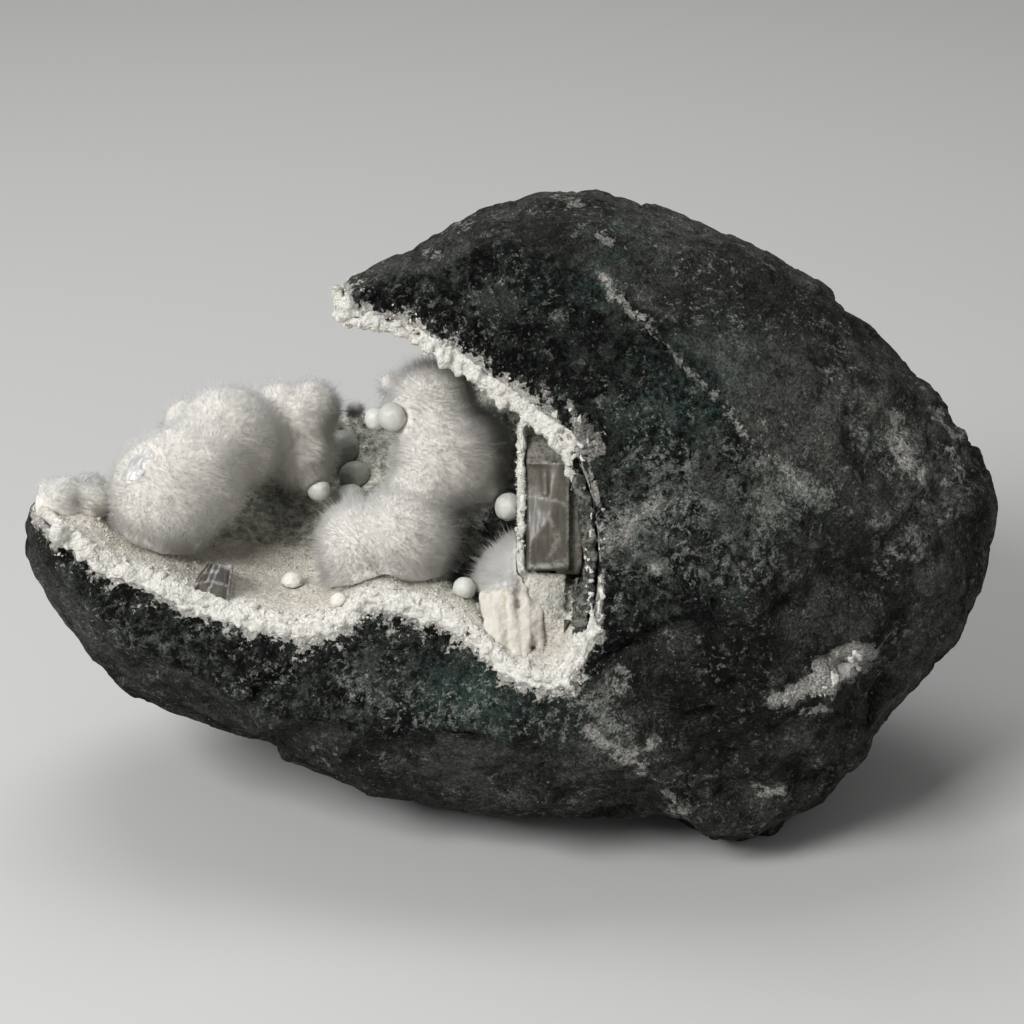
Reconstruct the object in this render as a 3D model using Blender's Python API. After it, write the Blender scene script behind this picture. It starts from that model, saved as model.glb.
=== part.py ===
"""Okenite puffballs in a broken basalt nodule.

A rounded lump of basalt has lost its front and its upper left back, which opens the hollow inside. A white
sugary druse lines the hollow. Furry white okenite balls, smooth gyrolite beads and clear calcite crystals
stand in it.

The specimen is laid out as a viewer sees it who looks down on its open front: across to the right, up the
view, and away from the eye. Places and sizes below are in millimetres. sight() turns such a place into one
above the ground, where Z is up and Y points away.
"""

import math

import bmesh
import bpy
import numpy as np
from mathutils import Matrix, Vector, noise
from mathutils.bvhtree import BVHTree

MM = 0.001
GAP = 0.3 * MM
SLIVER = 0.05 * MM

# The viewer, and how high above the ground and how far from its middle the line of sight passes
LOOK_DOWN = math.radians(25)
EYE_DISTANCE = 562 * MM
SIGHT_ORIGIN = Vector((0.22, -7.87, 62)) * MM

# The nodule: its outline against the light, its depths before and behind that outline, and its low lumps.
# Its share is the part of its triangles that is kept.
NODULE_MIDDLE = (9.5, -1.6)
NODULE_OUTLINE = (
    (-95, 1), (-95.2, -7.5), (-93.2, -14), (-88.5, -20), (-84.5, -26), (-75.5, -35.5), (-67, -39.5),
    (-59, -42), (-49.5, -46), (-37, -51.5), (-29, -55), (-15, -57.5), (0, -60), (22, -59.5), (33, -61),
    (44, -65.5), (53, -62), (67, -52), (72, -42), (83, -30), (90, -20), (94, -6), (95, 1), (92, 12),
    (85, 23.5), (76, 30), (66, 40), (54, 49.5), (42, 54.5), (28, 60), (12, 63.5), (-5, 60.5), (-13, 57),
    (-18, 53.8), (-25, 51), (-33.5, 46), (-52, 38), (-70, 27), (-84, 16),
)
NODULE_FRONT = 42
NODULE_BACK = 58
NODULE_SQUARENESS = 2.5
NODULE_FINENESS = 5
NODULE_SHARE = 0.28
LUMP_HEIGHT = 2.4
LUMP_SPACING = 26

# The hollow: the outline of its mouth, its depth behind the mouth, and how its floor climbs behind it.
# In front of the mouth it runs straight to its near end, well before the stone.
HOLLOW_MIDDLE = (-28, 8)
HOLLOW_MOUTH = (
    (-97, 2.5), (-90.5, -3.6), (-85.5, -7.5), (-79, -12.4), (-71.5, -14.6), (-64.5, -18.4), (-56.5, -20.7),
    (-48, -23.3), (-39.5, -24), (-32.5, -21.8), (-27.5, -18.6), (-21, -19.8), (-14, -21.5), (-8, -25.4),
    (-2, -31), (4, -33.4), (10, -33), (13.5, -28.5), (15.6, -22), (17, -14), (17, -5.5), (15.5, 3.5),
    (12, 11.5), (7, 17.4), (1.5, 21.8), (-4.3, 26.4), (-11.5, 30.9), (-17.5, 34.5), (-23, 37.3), (-28.5, 38),
    (-32, 39.6), (-33.4, 44), (-38, 56), (-64, 60), (-90, 46), (-105, 26), (-104, 10),
)
HOLLOW_DEPTH = 50
HOLLOW_SQUARENESS = 3.3
HOLLOW_CLIMB = 0.42
HOLLOW_STEPS = 2
HOLLOW_RINGS = 8
NEAR_END = -75
NEAR_END_MIDDLE = (-38, 13)
RIM_NEIGHBOURS = 3

# The druse: how thick it lies, how its lumps vary, and how far its broken edge stands out of the basalt
DRUSE_THICKNESS = 2.3
DRUSE_LUMP = 0.8
DRUSE_LUMP_SPACING = 5
DRUSE_RING_SPACING = 6
DRUSE_STANDS_OUT = 0.5

# The broken front: a shallow dish about this place, with its radii across and up
FRONT_BREAK_MIDDLE = (-50, 10, -14)
FRONT_BREAK_RADII = (175, 110)

# The broken upper left back: a plane that faces this way at this distance along the line of sight's origin
BACK_BREAK_FACING = Vector((-0.435, 0.777, 0.456)).normalized()
BACK_BREAK_DISTANCE = 44.5
BACK_BREAK_PATTERN = 50

# Both broken faces: the grid that they are laid on, and their roughness
BREAK_CELL = 5
BREAK_REACH = 130
BREAK_ROUGHNESS = 1.5
BREAK_ROUGHNESS_SPACING = 13

# Scoops out of the nodule's outside: across, up, radius and depth, and the way each one faces
SCOOPS = (
    (33, -31, 60, 5.0, (-0.10, -0.45, -0.85)),
    (63, -17, 120, 3.0, (0.30, -0.15, -0.90)),
    (44, -46, 80, 4.5, (0.15, -0.70, -0.60)),
    (76, -30, 70, 3.5, (0.60, -0.50, -0.60)),
    (30, 38, 130, 2.5, (0.25, 0.60, -0.75)),
    (72, 12, 110, 2.5, (0.60, 0.25, -0.75)),
    (-20, -52, 90, 3.0, (-0.10, -0.80, -0.50)),
    (-62, -36, 80, 2.5, (-0.45, -0.70, -0.50)),
)

# Okenite balls: across, up and away of the middle, and radius. The share is that of the triangles kept.
OKENITE_LEFT = (
    (-67.2, 4.1, -6, 13.4), (-64.0, 6.3, -5, 12.8), (-56.4, 14.4, 3, 12.0), (-63.4, 16.8, 7, 7.2),
    (-45.4, 19.3, 13, 8.1), (-40.3, 19.7, 14, 8.0), (-42.0, 12.0, 13, 8.9), (-46, 14, 21, 8.5),
)
OKENITE_RIGHT = (
    (-12.6, 10.3, -3, 12.5), (-15.8, 21.1, -1, 10.2), (-21.1, -4.5, -9, 11.5), (-28.4, -7.1, -7, 11.4),
    (-24.2, 25.2, 3, 3.9), (-9, 13, 9, 10.0),
)
OKENITE_FRONT = ((1.2, -13.0, -12, 8.3), (0.2, -22.0, -13.5, 7.4), (3.6, -21.0, -12.5, 6.6))
OKENITE_BACK = ((-31.0, 20.1, 22, 2.4),)
BALL_SHARE = 0.35

# How often a ball's 20 faces are split in four: a large ball, a small one, and the ball of a scoop
BALL_FINENESS = 3
SMALL_FINENESS = 2
SCOOP_FINENESS = 5

# The broken okenite at the left tip, cut by planes that each pass through a place and face a way
OKENITE_BROKEN = ((-89.6, 2.2, -2.5, 6.0), (-83.8, 3.2, 0, 5.2))
OKENITE_BROKEN_CUTS = (((-88, 7.6, -2), (-0.15, 0.95, -0.25)), ((-92, 4, -7), (-0.60, 0.30, -0.75)))

# Gyrolite beads: where the eye sees the middle, the radius, and how far the middle stands out of the wall
GYROLITE_ON_DRUSE = (
    (-9.8, -16.2, 2.3, 1.2), (-43.4, -14.2, 2.4, 0.1), (-34.0, -18.0, 1.9, 0.2),
    (-33.5, 12.0, 4.2, 0.8), (-30.6, 6.4, 3.4, 0.8), (-31.6, 1.6, 3.8, 0.6),
)
GYROLITE_ON_OKENITE = (
    (-38.2, 4.4, 9.5, 2.4), (-26.9, 18.4, -4.5, 2.3), (-23.6, 18.8, -9.0, 2.9), (-0.6, 1.0, -7, 2.9),
)

# Calcite: the blade, its low shoulder, the wedge and two splinters, each a box of near and far corners
BLADE_BOX = ((2.9, -11.6, -24), (11.6, 9.9, 6))
BLADE_SHOULDER = ((9.0, -12.4, -22.4), (15.4, 5.5, 2))
BLADE_STEP = ((-2, 3.0, -40), (7.2, 14.0, -22.7))
WEDGE_BOX = ((-63.4, -22, -17.5), (-55.2, -8.2, -10))
WEDGE_WIDTH_AT_FOOT = 1.25
WEDGE_WIDTH_AT_TOP = 0.80
WEDGE_LEAN = 1.5 * MM
SPLINTER_BOXES = (((12.4, -19.6, -23), (14.4, -12.9, -12)), ((10.2, -25.4, -23), (13.2, -21.2, -13)))

# Walls of druse on the calcite: the thin strip beside the blade, the coat on the crystal under it, and how
# far they stop short of the druse's back
STRIP_BOX = ((1.2, -12.2, -22.6), (2.6, 17.6, -9))
COAT_BOX = ((2.4, -28, -21), (10.6, -12.0, -8))
WALLS_STOP_SHORT = 0.15

COLOURS = {
    "basalt": ((0.045, 0.050, 0.048, 1), 0.85),
    "druse": ((0.72, 0.70, 0.64, 1), 0.60),
    "okenite": ((0.80, 0.79, 0.76, 1), 0.90),
    "gyrolite": ((0.66, 0.68, 0.66, 1), 0.35),
    "calcite": ((0.40, 0.37, 0.32, 1), 0.15),
}


def sight(across, up, away):
    """A place above the ground, from millimetres across, up and away. The lines of sight meet at the eye."""
    spread = 1 + away * MM / EYE_DISTANCE
    high = up * spread
    level = away * math.cos(LOOK_DOWN) + high * math.sin(LOOK_DOWN)
    height = high * math.cos(LOOK_DOWN) - away * math.sin(LOOK_DOWN)
    return SIGHT_ORIGIN + Vector((across * spread, level, height)) * MM


def facing(direction):
    """A direction given as across, up and away, turned to stand above the ground."""
    across, up, away = direction
    level = away * math.cos(LOOK_DOWN) + up * math.sin(LOOK_DOWN)
    height = up * math.cos(LOOK_DOWN) - away * math.sin(LOOK_DOWN)
    return Vector((across, level, height)).normalized()


def smooth_loop(points, steps):
    """A closed smooth curve through the points, with that many steps from each one to the next."""
    points = np.array(points, float)
    before, after, last = np.roll(points, 1, 0), np.roll(points, -1, 0), np.roll(points, -2, 0)
    bend = 2 * before - 5 * points + 4 * after - last
    twist = 3 * points - 3 * after + last - before
    parts = np.arange(steps) / steps
    curve = [points + 0.5 * part * (after - before + part * (bend + part * twist)) for part in parts]
    return np.stack(curve, 1).reshape(-1, 2)


def drawn_in(loop, inset):
    """The closed curve moved inwards."""
    along = np.roll(loop, -1, 0) - np.roll(loop, 1, 0)
    inward = np.stack([-along[:, 1], along[:, 0]], 1) / np.linalg.norm(along, axis=1)[:, None]
    return loop + inset * inward


def reach_by_angle(points, middle):
    """A function of an angle that says how far the closed outline lies from the middle that way."""
    loop = smooth_loop(points, 20) - np.array(middle)
    angles = np.arctan2(loop[:, 1], loop[:, 0])
    order = np.argsort(angles)
    angles, reaches = angles[order], np.linalg.norm(loop, axis=1)[order]
    return lambda angle: float(np.interp(angle, angles, reaches, period=2 * math.pi))


def rough(place, spacing):
    """A smooth random height between about -1 and 1."""
    return noise.fractal(Vector(place) / spacing, 0.9, 2.1, 3)


NODULE_REACH = reach_by_angle(NODULE_OUTLINE, NODULE_MIDDLE)


def nodule_depth(across, up):
    """How far away the front of the unbroken nodule lies on this line of sight: less than nothing."""
    right, high = across - NODULE_MIDDLE[0], up - NODULE_MIDDLE[1]
    part = math.hypot(right, high) / NODULE_REACH(math.atan2(high, right))
    return -NODULE_FRONT * max(0, 1 - part**NODULE_SQUARENESS) ** (1 / NODULE_SQUARENESS)


def front_break(across, up):
    """How far away the broken front lies on this line of sight."""
    middle_across, middle_up, away = FRONT_BREAK_MIDDLE
    radius_across, radius_up = FRONT_BREAK_RADII
    dish = (across - middle_across) ** 2 / 2 / radius_across + (up - middle_up) ** 2 / 2 / radius_up
    return away - dish + BREAK_ROUGHNESS * rough((across, up, 0), BREAK_ROUGHNESS_SPACING)


def mouth_depth(across, up):
    """How far away the rim of the mouth lies: on the broken front, or on the nodule's skin where deeper."""
    return max(front_break(across, up), nodule_depth(across, up))


def new_object(name, bm, collection):
    """An object of this mesh, in this collection."""
    mesh = bpy.data.meshes.new(name)
    bm.to_mesh(mesh)
    bm.free()
    made = bpy.data.objects.new(name, mesh)
    collection.objects.link(made)
    return made


def face_outwards(bm):
    """Turns the faces of a closed mesh out if they face in."""
    if bm.calc_volume(signed=True) < 0:
        bmesh.ops.reverse_faces(bm, faces=bm.faces)
    return bm


def new_cutter(name, bm):
    """A helper that is left out of renders."""
    made = new_object(name, bm, CUTTERS)
    made.hide_render = True
    made.display_type = "WIRE"
    return made


def carve(target, other, operation="DIFFERENCE"):
    """Cuts, joins or keeps the overlap of two solids."""
    modifier = target.modifiers.new(f"{operation.lower()} {other.name}", "BOOLEAN")
    modifier.operation = operation
    modifier.solver = "EXACT"
    modifier.object = other


def thin_out(target, share):
    """Leaves about this share of the triangles, most of them where the surface bends."""
    modifier = target.modifiers.new("thin out", "DECIMATE")
    modifier.ratio = share


def settle(target):
    """Makes the result of the modifiers the object's own mesh, with slivers removed."""
    graph = bpy.context.evaluated_depsgraph_get()
    mesh = bpy.data.meshes.new_from_object(target.evaluated_get(graph))
    target.modifiers.clear()
    target.data = mesh
    bm = bmesh.new()
    bm.from_mesh(mesh)
    bmesh.ops.remove_doubles(bm, verts=bm.verts, dist=SLIVER)
    bmesh.ops.dissolve_degenerate(bm, edges=bm.edges, dist=SLIVER)
    bmesh.ops.triangulate(bm, faces=bm.faces)
    bm.to_mesh(mesh)
    bm.free()
    return target


def nodule_mesh():
    """The whole nodule before it broke: a squarish ellipsoid with the measured outline and low lumps."""
    bm = bmesh.new()
    bmesh.ops.create_icosphere(bm, subdivisions=NODULE_FINENESS, radius=1)
    for vert in bm.verts:
        right, high, away = vert.co
        depth = NODULE_BACK if away > 0 else NODULE_FRONT
        flat = math.hypot(right, high) / NODULE_REACH(math.atan2(high, right))
        size = (flat**NODULE_SQUARENESS + abs(away / depth) ** NODULE_SQUARENESS) ** (-1 / NODULE_SQUARENESS)
        lump = LUMP_HEIGHT * abs(away) * rough(vert.co * size, LUMP_SPACING)
        place = vert.co * (size + lump)
        vert.co = sight(NODULE_MIDDLE[0] + place.x, NODULE_MIDDLE[1] + place.y, place.z)
    return face_outwards(bm)


def hollow_mesh(inset, lumpy=0):
    """The hollow, drawn in by the inset. Before its mouth it runs straight towards the eye."""
    mouth = smooth_loop(HOLLOW_MOUTH, HOLLOW_STEPS)
    segments = len(mouth)
    inner = drawn_in(mouth, inset)
    inward = (inner - mouth) / inset if inset else inner * 0
    depths = np.array([mouth_depth(*place) for place in mouth])
    shifts = range(-RIM_NEIGHBOURS, RIM_NEIGHBOURS + 1)
    rims = sum(np.roll(depths, shift) for shift in shifts) / len(shifts)
    bm = bmesh.new()
    bmesh.ops.create_uvsphere(bm, u_segments=segments, v_segments=HOLLOW_RINGS, radius=1)
    for vert in bm.verts:
        turn = math.atan2(vert.co.y, vert.co.x) / 2 / math.pi
        segment = round(turn * segments) % segments
        ring = round(math.acos(max(-1, min(1, -vert.co.z))) / math.pi * HOLLOW_RINGS)
        rim = float(rims[segment])
        if ring == 0:
            vert.co = sight(*NEAR_END_MIDDLE, NEAR_END)
            continue
        if ring == 1:
            vert.co = sight(*inner[segment], NEAR_END)
            continue
        slope = (ring - 2) / (HOLLOW_RINGS - 2) * math.pi / 2
        width = math.cos(slope) ** (2 / HOLLOW_SQUARENESS) if ring < HOLLOW_RINGS else 0
        lump = lumpy * width * rough((*mouth[segment], DRUSE_RING_SPACING * ring), DRUSE_LUMP_SPACING)
        depth = FRONT_BREAK_MIDDLE[2] + HOLLOW_DEPTH - rim - inset - lump
        behind = math.sin(slope) ** (2 / HOLLOW_SQUARENESS) * depth
        across, up = inner[segment] + lump * inward[segment]
        right = HOLLOW_MIDDLE[0] + (across - HOLLOW_MIDDLE[0]) * width
        climb = HOLLOW_CLIMB * (behind + (1 - width) * (rim - rims.min()))
        high = HOLLOW_MIDDLE[1] + (up - HOLLOW_MIDDLE[1]) * width + climb
        vert.co = sight(right, high, rim + behind)
    bmesh.ops.triangulate(bm, faces=bm.faces, quad_method="FIXED")
    return face_outwards(bm)


def break_mesh(broken_face, far_face):
    """A block between two surfaces, each given as a function of the two coordinates of one grid."""
    cells = 2 * BREAK_REACH // BREAK_CELL
    bm = bmesh.new()
    bmesh.ops.create_grid(bm, x_segments=cells, y_segments=cells, size=BREAK_REACH)
    grown = bmesh.ops.extrude_face_region(bm, geom=list(bm.faces))
    far = {item for item in grown["geom"] if isinstance(item, bmesh.types.BMVert)}
    for vert in bm.verts:
        face = far_face if vert in far else broken_face
        vert.co = face(vert.co.x, vert.co.y)
    return face_outwards(bm)


def front_break_mesh(stands_out=0):
    """What broke off the front: a block that ends at the broken face."""
    return break_mesh(
        lambda across, up: sight(across, up, front_break(across, up) - stands_out),
        lambda across, up: sight(across, up, NEAR_END - BREAK_REACH),
    )


def back_break_mesh():
    """What broke off the upper left back: a block that ends at the broken face."""
    turn = facing(BACK_BREAK_FACING).to_track_quat("Z", "Y")

    def broken_face(right, high):
        roughness = rough((right, high, BACK_BREAK_PATTERN), BREAK_ROUGHNESS_SPACING)
        return lifted(right, high, BACK_BREAK_DISTANCE + BREAK_ROUGHNESS * roughness)

    def lifted(right, high, height):
        return SIGHT_ORIGIN + turn @ (Vector((right, high, height)) * MM)

    return break_mesh(broken_face, lambda right, high: lifted(right, high, BREAK_REACH))


def ball_mesh(middle, radius, fineness):
    """A ball about a place above the ground."""
    bm = bmesh.new()
    bmesh.ops.create_icosphere(bm, subdivisions=fineness, radius=radius * MM)
    bmesh.ops.translate(bm, verts=bm.verts, vec=middle)
    return bm


def box_mesh(box):
    """A box between its near and far corners, with its sides along the lines of sight."""
    low, high = (Vector(corner) for corner in box)
    bm = bmesh.new()
    bmesh.ops.create_cube(bm, size=1)
    for vert in bm.verts:
        part = vert.co + Vector((0.5, 0.5, 0.5))
        vert.co = sight(*(low[axis] + (high[axis] - low[axis]) * part[axis] for axis in range(3)))
    return face_outwards(bm)


def ground_mesh():
    """Everything below the flat that the nodule stands on."""
    bm = bmesh.new()
    bmesh.ops.create_cube(bm, size=2 * BREAK_REACH * MM)
    bmesh.ops.translate(bm, verts=bm.verts, vec=(0, 0, -BREAK_REACH * MM))
    return bm


def ball_group(name, balls, fineness=BALL_FINENESS):
    """Balls grown into one another, trimmed where they meet the druse."""
    first, *others = balls
    made = new_object(name, ball_mesh(sight(*first[:3]), first[3], fineness), PARTS)
    for number, (across, up, away, radius) in enumerate(others):
        ball = ball_mesh(sight(across, up, away), radius, fineness)
        carve(made, new_cutter(f"{name}_{number}", ball), "UNION")
    thin_out(made, BALL_SHARE)
    carve(made, HOLLOW_INSIDE, "INTERSECT")
    return made


def give_material(made, kind):
    """The plain colour of this kind of mineral."""
    material = bpy.data.materials.get(kind)
    if material is None:
        material = bpy.data.materials.new(kind)
        material.use_nodes = True
        shader = material.node_tree.nodes["Principled BSDF"]
        colour, roughness = COLOURS[kind]
        shader.inputs["Base Color"].default_value = colour
        shader.inputs["Roughness"].default_value = roughness
        shader.inputs["Metallic"].default_value = 0
    made.data.materials.clear()
    made.data.materials.append(material)


def basalt_matrix():
    """The nodule, broken open, scooped and standing on a flat."""
    made = new_object("basalt_matrix", nodule_mesh(), PARTS)
    whole = BVHTree.FromObject(made, bpy.context.evaluated_depsgraph_get())
    eye = sight(0, 0, -EYE_DISTANCE / MM)
    for number, (across, up, radius, depth, way) in enumerate(SCOOPS):
        place = whole.ray_cast(eye, (sight(across, up, 0) - eye).normalized())[0]
        middle = place + facing(way) * (radius - depth) * MM
        carve(made, new_cutter(f"scoop_{number}", ball_mesh(middle, radius, SCOOP_FINENESS)))
    thin_out(made, NODULE_SHARE)
    carve(made, new_cutter("front_break", front_break_mesh()))
    carve(made, BACK_BREAK)
    carve(made, new_cutter("hollow", hollow_mesh(0)))
    carve(made, GROUND)
    return settle(made)


def druse_crust():
    """The druse that lines the hollow, with its strip and coat on the calcite, broken off with the basalt."""
    made = new_object("druse_crust", hollow_mesh(GAP / MM), PARTS)
    carve(made, new_cutter("druse_skin", hollow_mesh(GAP / MM + DRUSE_THICKNESS, DRUSE_LUMP)))
    carve(made, new_cutter("nodule_skin", nodule_mesh()), "INTERSECT")
    carve(made, new_cutter("druse_front_break", front_break_mesh(DRUSE_STANDS_OUT)))
    carve(made, BACK_BREAK)
    limit = new_cutter("wall_limit", hollow_mesh(GAP / MM + WALLS_STOP_SHORT))
    for name, box in (("strip", STRIP_BOX), ("coat", COAT_BOX)):
        wall = new_cutter(name, box_mesh(box))
        carve(wall, limit, "INTERSECT")
        carve(made, settle(wall), "UNION")
    return settle(made)


def okenite():
    """The furry balls: two clusters, the ball at the calcite, a small one, and the broken one at the left."""
    balls = [
        ball_group("okenite_cluster_left", OKENITE_LEFT),
        ball_group("okenite_cluster_right", OKENITE_RIGHT),
        ball_group("okenite_ball_front", OKENITE_FRONT),
        ball_group("okenite_ball_back", OKENITE_BACK, SMALL_FINENESS),
        ball_group("okenite_broken_left", OKENITE_BROKEN),
    ]
    for number, (place, way) in enumerate(OKENITE_BROKEN_CUTS):
        bm = bmesh.new()
        bmesh.ops.create_cube(bm, size=BREAK_REACH * MM)
        turn = facing(way).to_track_quat("Z", "Y").to_matrix().to_4x4()
        lift = Matrix.Translation((0, 0, BREAK_REACH * MM / 2))
        bmesh.ops.transform(bm, matrix=Matrix.Translation(sight(*place)) @ turn @ lift, verts=bm.verts)
        carve(balls[-1], new_cutter(f"okenite_cut_{number}", bm))
    keep_clear(balls[1], OKENITE_LEFT)
    keep_clear(balls[3], OKENITE_LEFT)
    keep_clear(balls[4], OKENITE_LEFT[:1])
    for box in (STRIP_BOX, COAT_BOX, BLADE_BOX, BLADE_SHOULDER, *SPLINTER_BOXES):
        carve(balls[2], room_for_box(box))
    return [settle(ball) for ball in balls]


def room_for_box(box):
    """A cutter that leaves a gap all round the box."""
    low, high = (Vector(corner) for corner in box)
    gap = Vector((GAP, GAP, GAP)) / MM
    return new_cutter("room_for_box", box_mesh((low - gap, high + gap)))


def keep_clear(target, balls):
    """Cuts away what lies in or close against these balls."""
    for number, (across, up, away, radius) in enumerate(balls):
        room = ball_mesh(sight(across, up, away), radius + GAP / MM, BALL_FINENESS)
        carve(target, new_cutter(f"{target.name}_room_{number}", room))


def gyrolite():
    """Smooth beads: those on the druse find its surface on their line of sight, the others touch okenite."""
    beads = []
    limit = BVHTree.FromObject(HOLLOW_INSIDE, bpy.context.evaluated_depsgraph_get())
    eye = sight(0, 0, -EYE_DISTANCE / MM)
    for across, up, radius, stands_out in GYROLITE_ON_DRUSE:
        near = sight(across, up, NEAR_END / 2)
        place, inward = limit.ray_cast(near, (near - eye).normalized())[:2]
        inward = inward if inward.dot(near - place) > 0 else -inward
        beads.append(ball_mesh(place + inward * stands_out * MM, radius, SMALL_FINENESS))
    for across, up, away, radius in GYROLITE_ON_OKENITE:
        beads.append(ball_mesh(sight(across, up, away), radius, SMALL_FINENESS))
    made = []
    for number, bead in enumerate(beads, 1):
        bead = new_object(f"gyrolite_bead_{number}", bead, PARTS)
        carve(bead, HOLLOW_INSIDE, "INTERSECT")
        if number > len(GYROLITE_ON_DRUSE):
            keep_clear(bead, OKENITE_LEFT + OKENITE_RIGHT)
            carve(bead, room_for_box(STRIP_BOX))
        made.append(settle(bead))
    return made


def calcite():
    """The clear crystals: the blade with its low shoulder, the wedge at the front, and two splinters."""
    blade = new_object("calcite_blade", box_mesh(BLADE_BOX), PARTS)
    carve(blade, new_cutter("blade_shoulder", box_mesh(BLADE_SHOULDER)), "UNION")
    carve(blade, new_cutter("blade_step", box_mesh(BLADE_STEP)))
    wedge = new_object("calcite_wedge", box_mesh(WEDGE_BOX), PARTS)
    lean_wedge(wedge.data)
    made = [blade, wedge]
    for number, box in enumerate(SPLINTER_BOXES, 1):
        made.append(new_object(f"calcite_splinter_{number}", box_mesh(box), PARTS))
    coat_room, strip_room = room_for_box(COAT_BOX), room_for_box(STRIP_BOX)
    broken = new_cutter("calcite_front_break", front_break_mesh(DRUSE_STANDS_OUT))
    for crystal in made:
        carve(crystal, HOLLOW_INSIDE, "INTERSECT")
        carve(crystal, coat_room)
        carve(crystal, strip_room)
        if crystal is not wedge:
            carve(crystal, broken)
    return [settle(crystal) for crystal in made]


def lean_wedge(mesh):
    """Narrows the wedge towards its top and leans it to the right."""
    heights = [vert.co.z for vert in mesh.vertices]
    low, high = min(heights), max(heights)
    middle = sum((vert.co for vert in mesh.vertices), Vector()) / len(mesh.vertices)
    for vert in mesh.vertices:
        part = (vert.co.z - low) / (high - low)
        width = WEDGE_WIDTH_AT_FOOT + (WEDGE_WIDTH_AT_TOP - WEDGE_WIDTH_AT_FOOT) * part
        vert.co.x = middle.x + (vert.co.x - middle.x) * width + WEDGE_LEAN * part


for old in list(bpy.data.objects):
    bpy.data.objects.remove(old)
PARTS = bpy.data.collections.new("okenite_puffball")
CUTTERS = bpy.data.collections.new("cutters")
for collection in (PARTS, CUTTERS):
    bpy.context.scene.collection.children.link(collection)
BACK_BREAK = new_cutter("back_break", back_break_mesh())
GROUND = new_cutter("ground", ground_mesh())
HOLLOW_INSIDE = new_cutter("hollow_inside", hollow_mesh(2 * GAP / MM + DRUSE_THICKNESS, DRUSE_LUMP))
give_material(basalt_matrix(), "basalt")
give_material(druse_crust(), "druse")
for piece in okenite():
    give_material(piece, "okenite")
for piece in gyrolite():
    give_material(piece, "gyrolite")
for piece in calcite():
    give_material(piece, "calcite")
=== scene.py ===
"""Okenite puffballs in a broken basalt nodule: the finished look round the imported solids.

Each piece is grown on its own solid of the frame. The basalt and the druse get fine skins, the okenite balls
get their fibres one by one, and the crystals get their cleavage. A pixel is one of the 1024 by 1024 view that
the camera gives. Across, up and away are millimetres from the middle of that view: to the right, up the view,
and away from the eye.
"""

import math

import bmesh
import bpy
import numpy as np
from bpy.props import FloatProperty, FloatVectorProperty, IntProperty, PointerProperty
from mathutils import Matrix, Vector, noise
from mathutils.bvhtree import BVHTree


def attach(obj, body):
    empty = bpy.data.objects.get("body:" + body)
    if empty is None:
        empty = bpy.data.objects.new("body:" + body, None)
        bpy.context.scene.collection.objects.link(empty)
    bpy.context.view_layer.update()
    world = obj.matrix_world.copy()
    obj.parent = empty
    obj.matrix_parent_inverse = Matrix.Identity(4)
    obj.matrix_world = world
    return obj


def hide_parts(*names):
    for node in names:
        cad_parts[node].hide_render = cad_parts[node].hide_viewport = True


bl_info = {
    "name": "Okenite geode",
    "version": (1, 0, 0),
    "blender": (4, 5, 0),
    "location": "3D View > Sidebar > Geode",
    "description": "Grows the fine surfaces of an okenite geode on its solids",
    "category": "Object",
}

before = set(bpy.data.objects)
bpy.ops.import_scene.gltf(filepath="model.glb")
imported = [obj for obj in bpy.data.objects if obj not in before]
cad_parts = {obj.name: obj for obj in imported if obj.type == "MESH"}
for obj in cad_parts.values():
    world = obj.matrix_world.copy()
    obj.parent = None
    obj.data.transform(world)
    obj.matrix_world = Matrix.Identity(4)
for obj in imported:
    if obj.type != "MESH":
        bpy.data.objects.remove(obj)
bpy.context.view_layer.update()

MM = 0.001
MERGE = 0.001 * MM
COARSER = 1
FEWER = 1
BODY = "root"

# The view: how far down the camera looks, where it aims, how far off it stands, and its lens and film in mm
LOOK_DOWN = math.radians(25)
AIM = Vector((0.22, -7.87, 62)) * MM
EYE_DISTANCE = 562 * MM
LENS = 100
FILM = 36
VIEW_PIXELS = 1024
PIXEL = EYE_DISTANCE / MM * FILM / LENS / VIEW_PIXELS

# The broken front of the basalt: a shallow dish about this place, with its radii across and up
FRONT_BREAK_MIDDLE = (-50, 10, -14)
FRONT_BREAK_RADII = (175, 110)

# The broken face at the upper left back: the way it faces in the view, and how far it lies from the aim
BACK_BREAK_FACING = Vector((-0.435, 0.777, 0.456)).normalized()
BACK_BREAK_DISTANCE = 44.5

# How far from either break the stone looks fresh, and how far the basalt's skin may stand out of its solid
BREAK_SPREAD = 2.2
MOST_RISE = 1.5 * MM

# Ledges of the basalt, as pixels from left to right. Each drops below its line by a depth, and has a reach.
LEDGES = (
    (
        ((250, 736), (312, 721), (356, 737), (395, 741), (435, 729), (474, 735), (514, 749), (560, 753)),
        1.8, 7,
    ),
    (((637, 631), (676, 616), (713, 622), (756, 625), (786, 643), (820, 655)), 1.9, 10),
    (((622, 700), (650, 708), (713, 707)), 0.9, 6),
    (((690, 655), (730, 668), (772, 690)), 0.8, 5),
    (((598, 275), (640, 320), (680, 365), (720, 400), (745, 435)), 1.2, 9),
    (((771, 591), (790, 600), (820, 628), (851, 652)), 0.8, 5),
    (((829, 554), (860, 566), (890, 576)), 1.0, 6),
    (((661, 784), (708, 779), (756, 775), (800, 773), (835, 769)), 1.2, 7),
    (((520, 770), (575, 778), (620, 790)), 1.0, 6),
    (((880, 540), (912, 505), (930, 480), (952, 478)), 0.9, 6),
)

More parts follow.
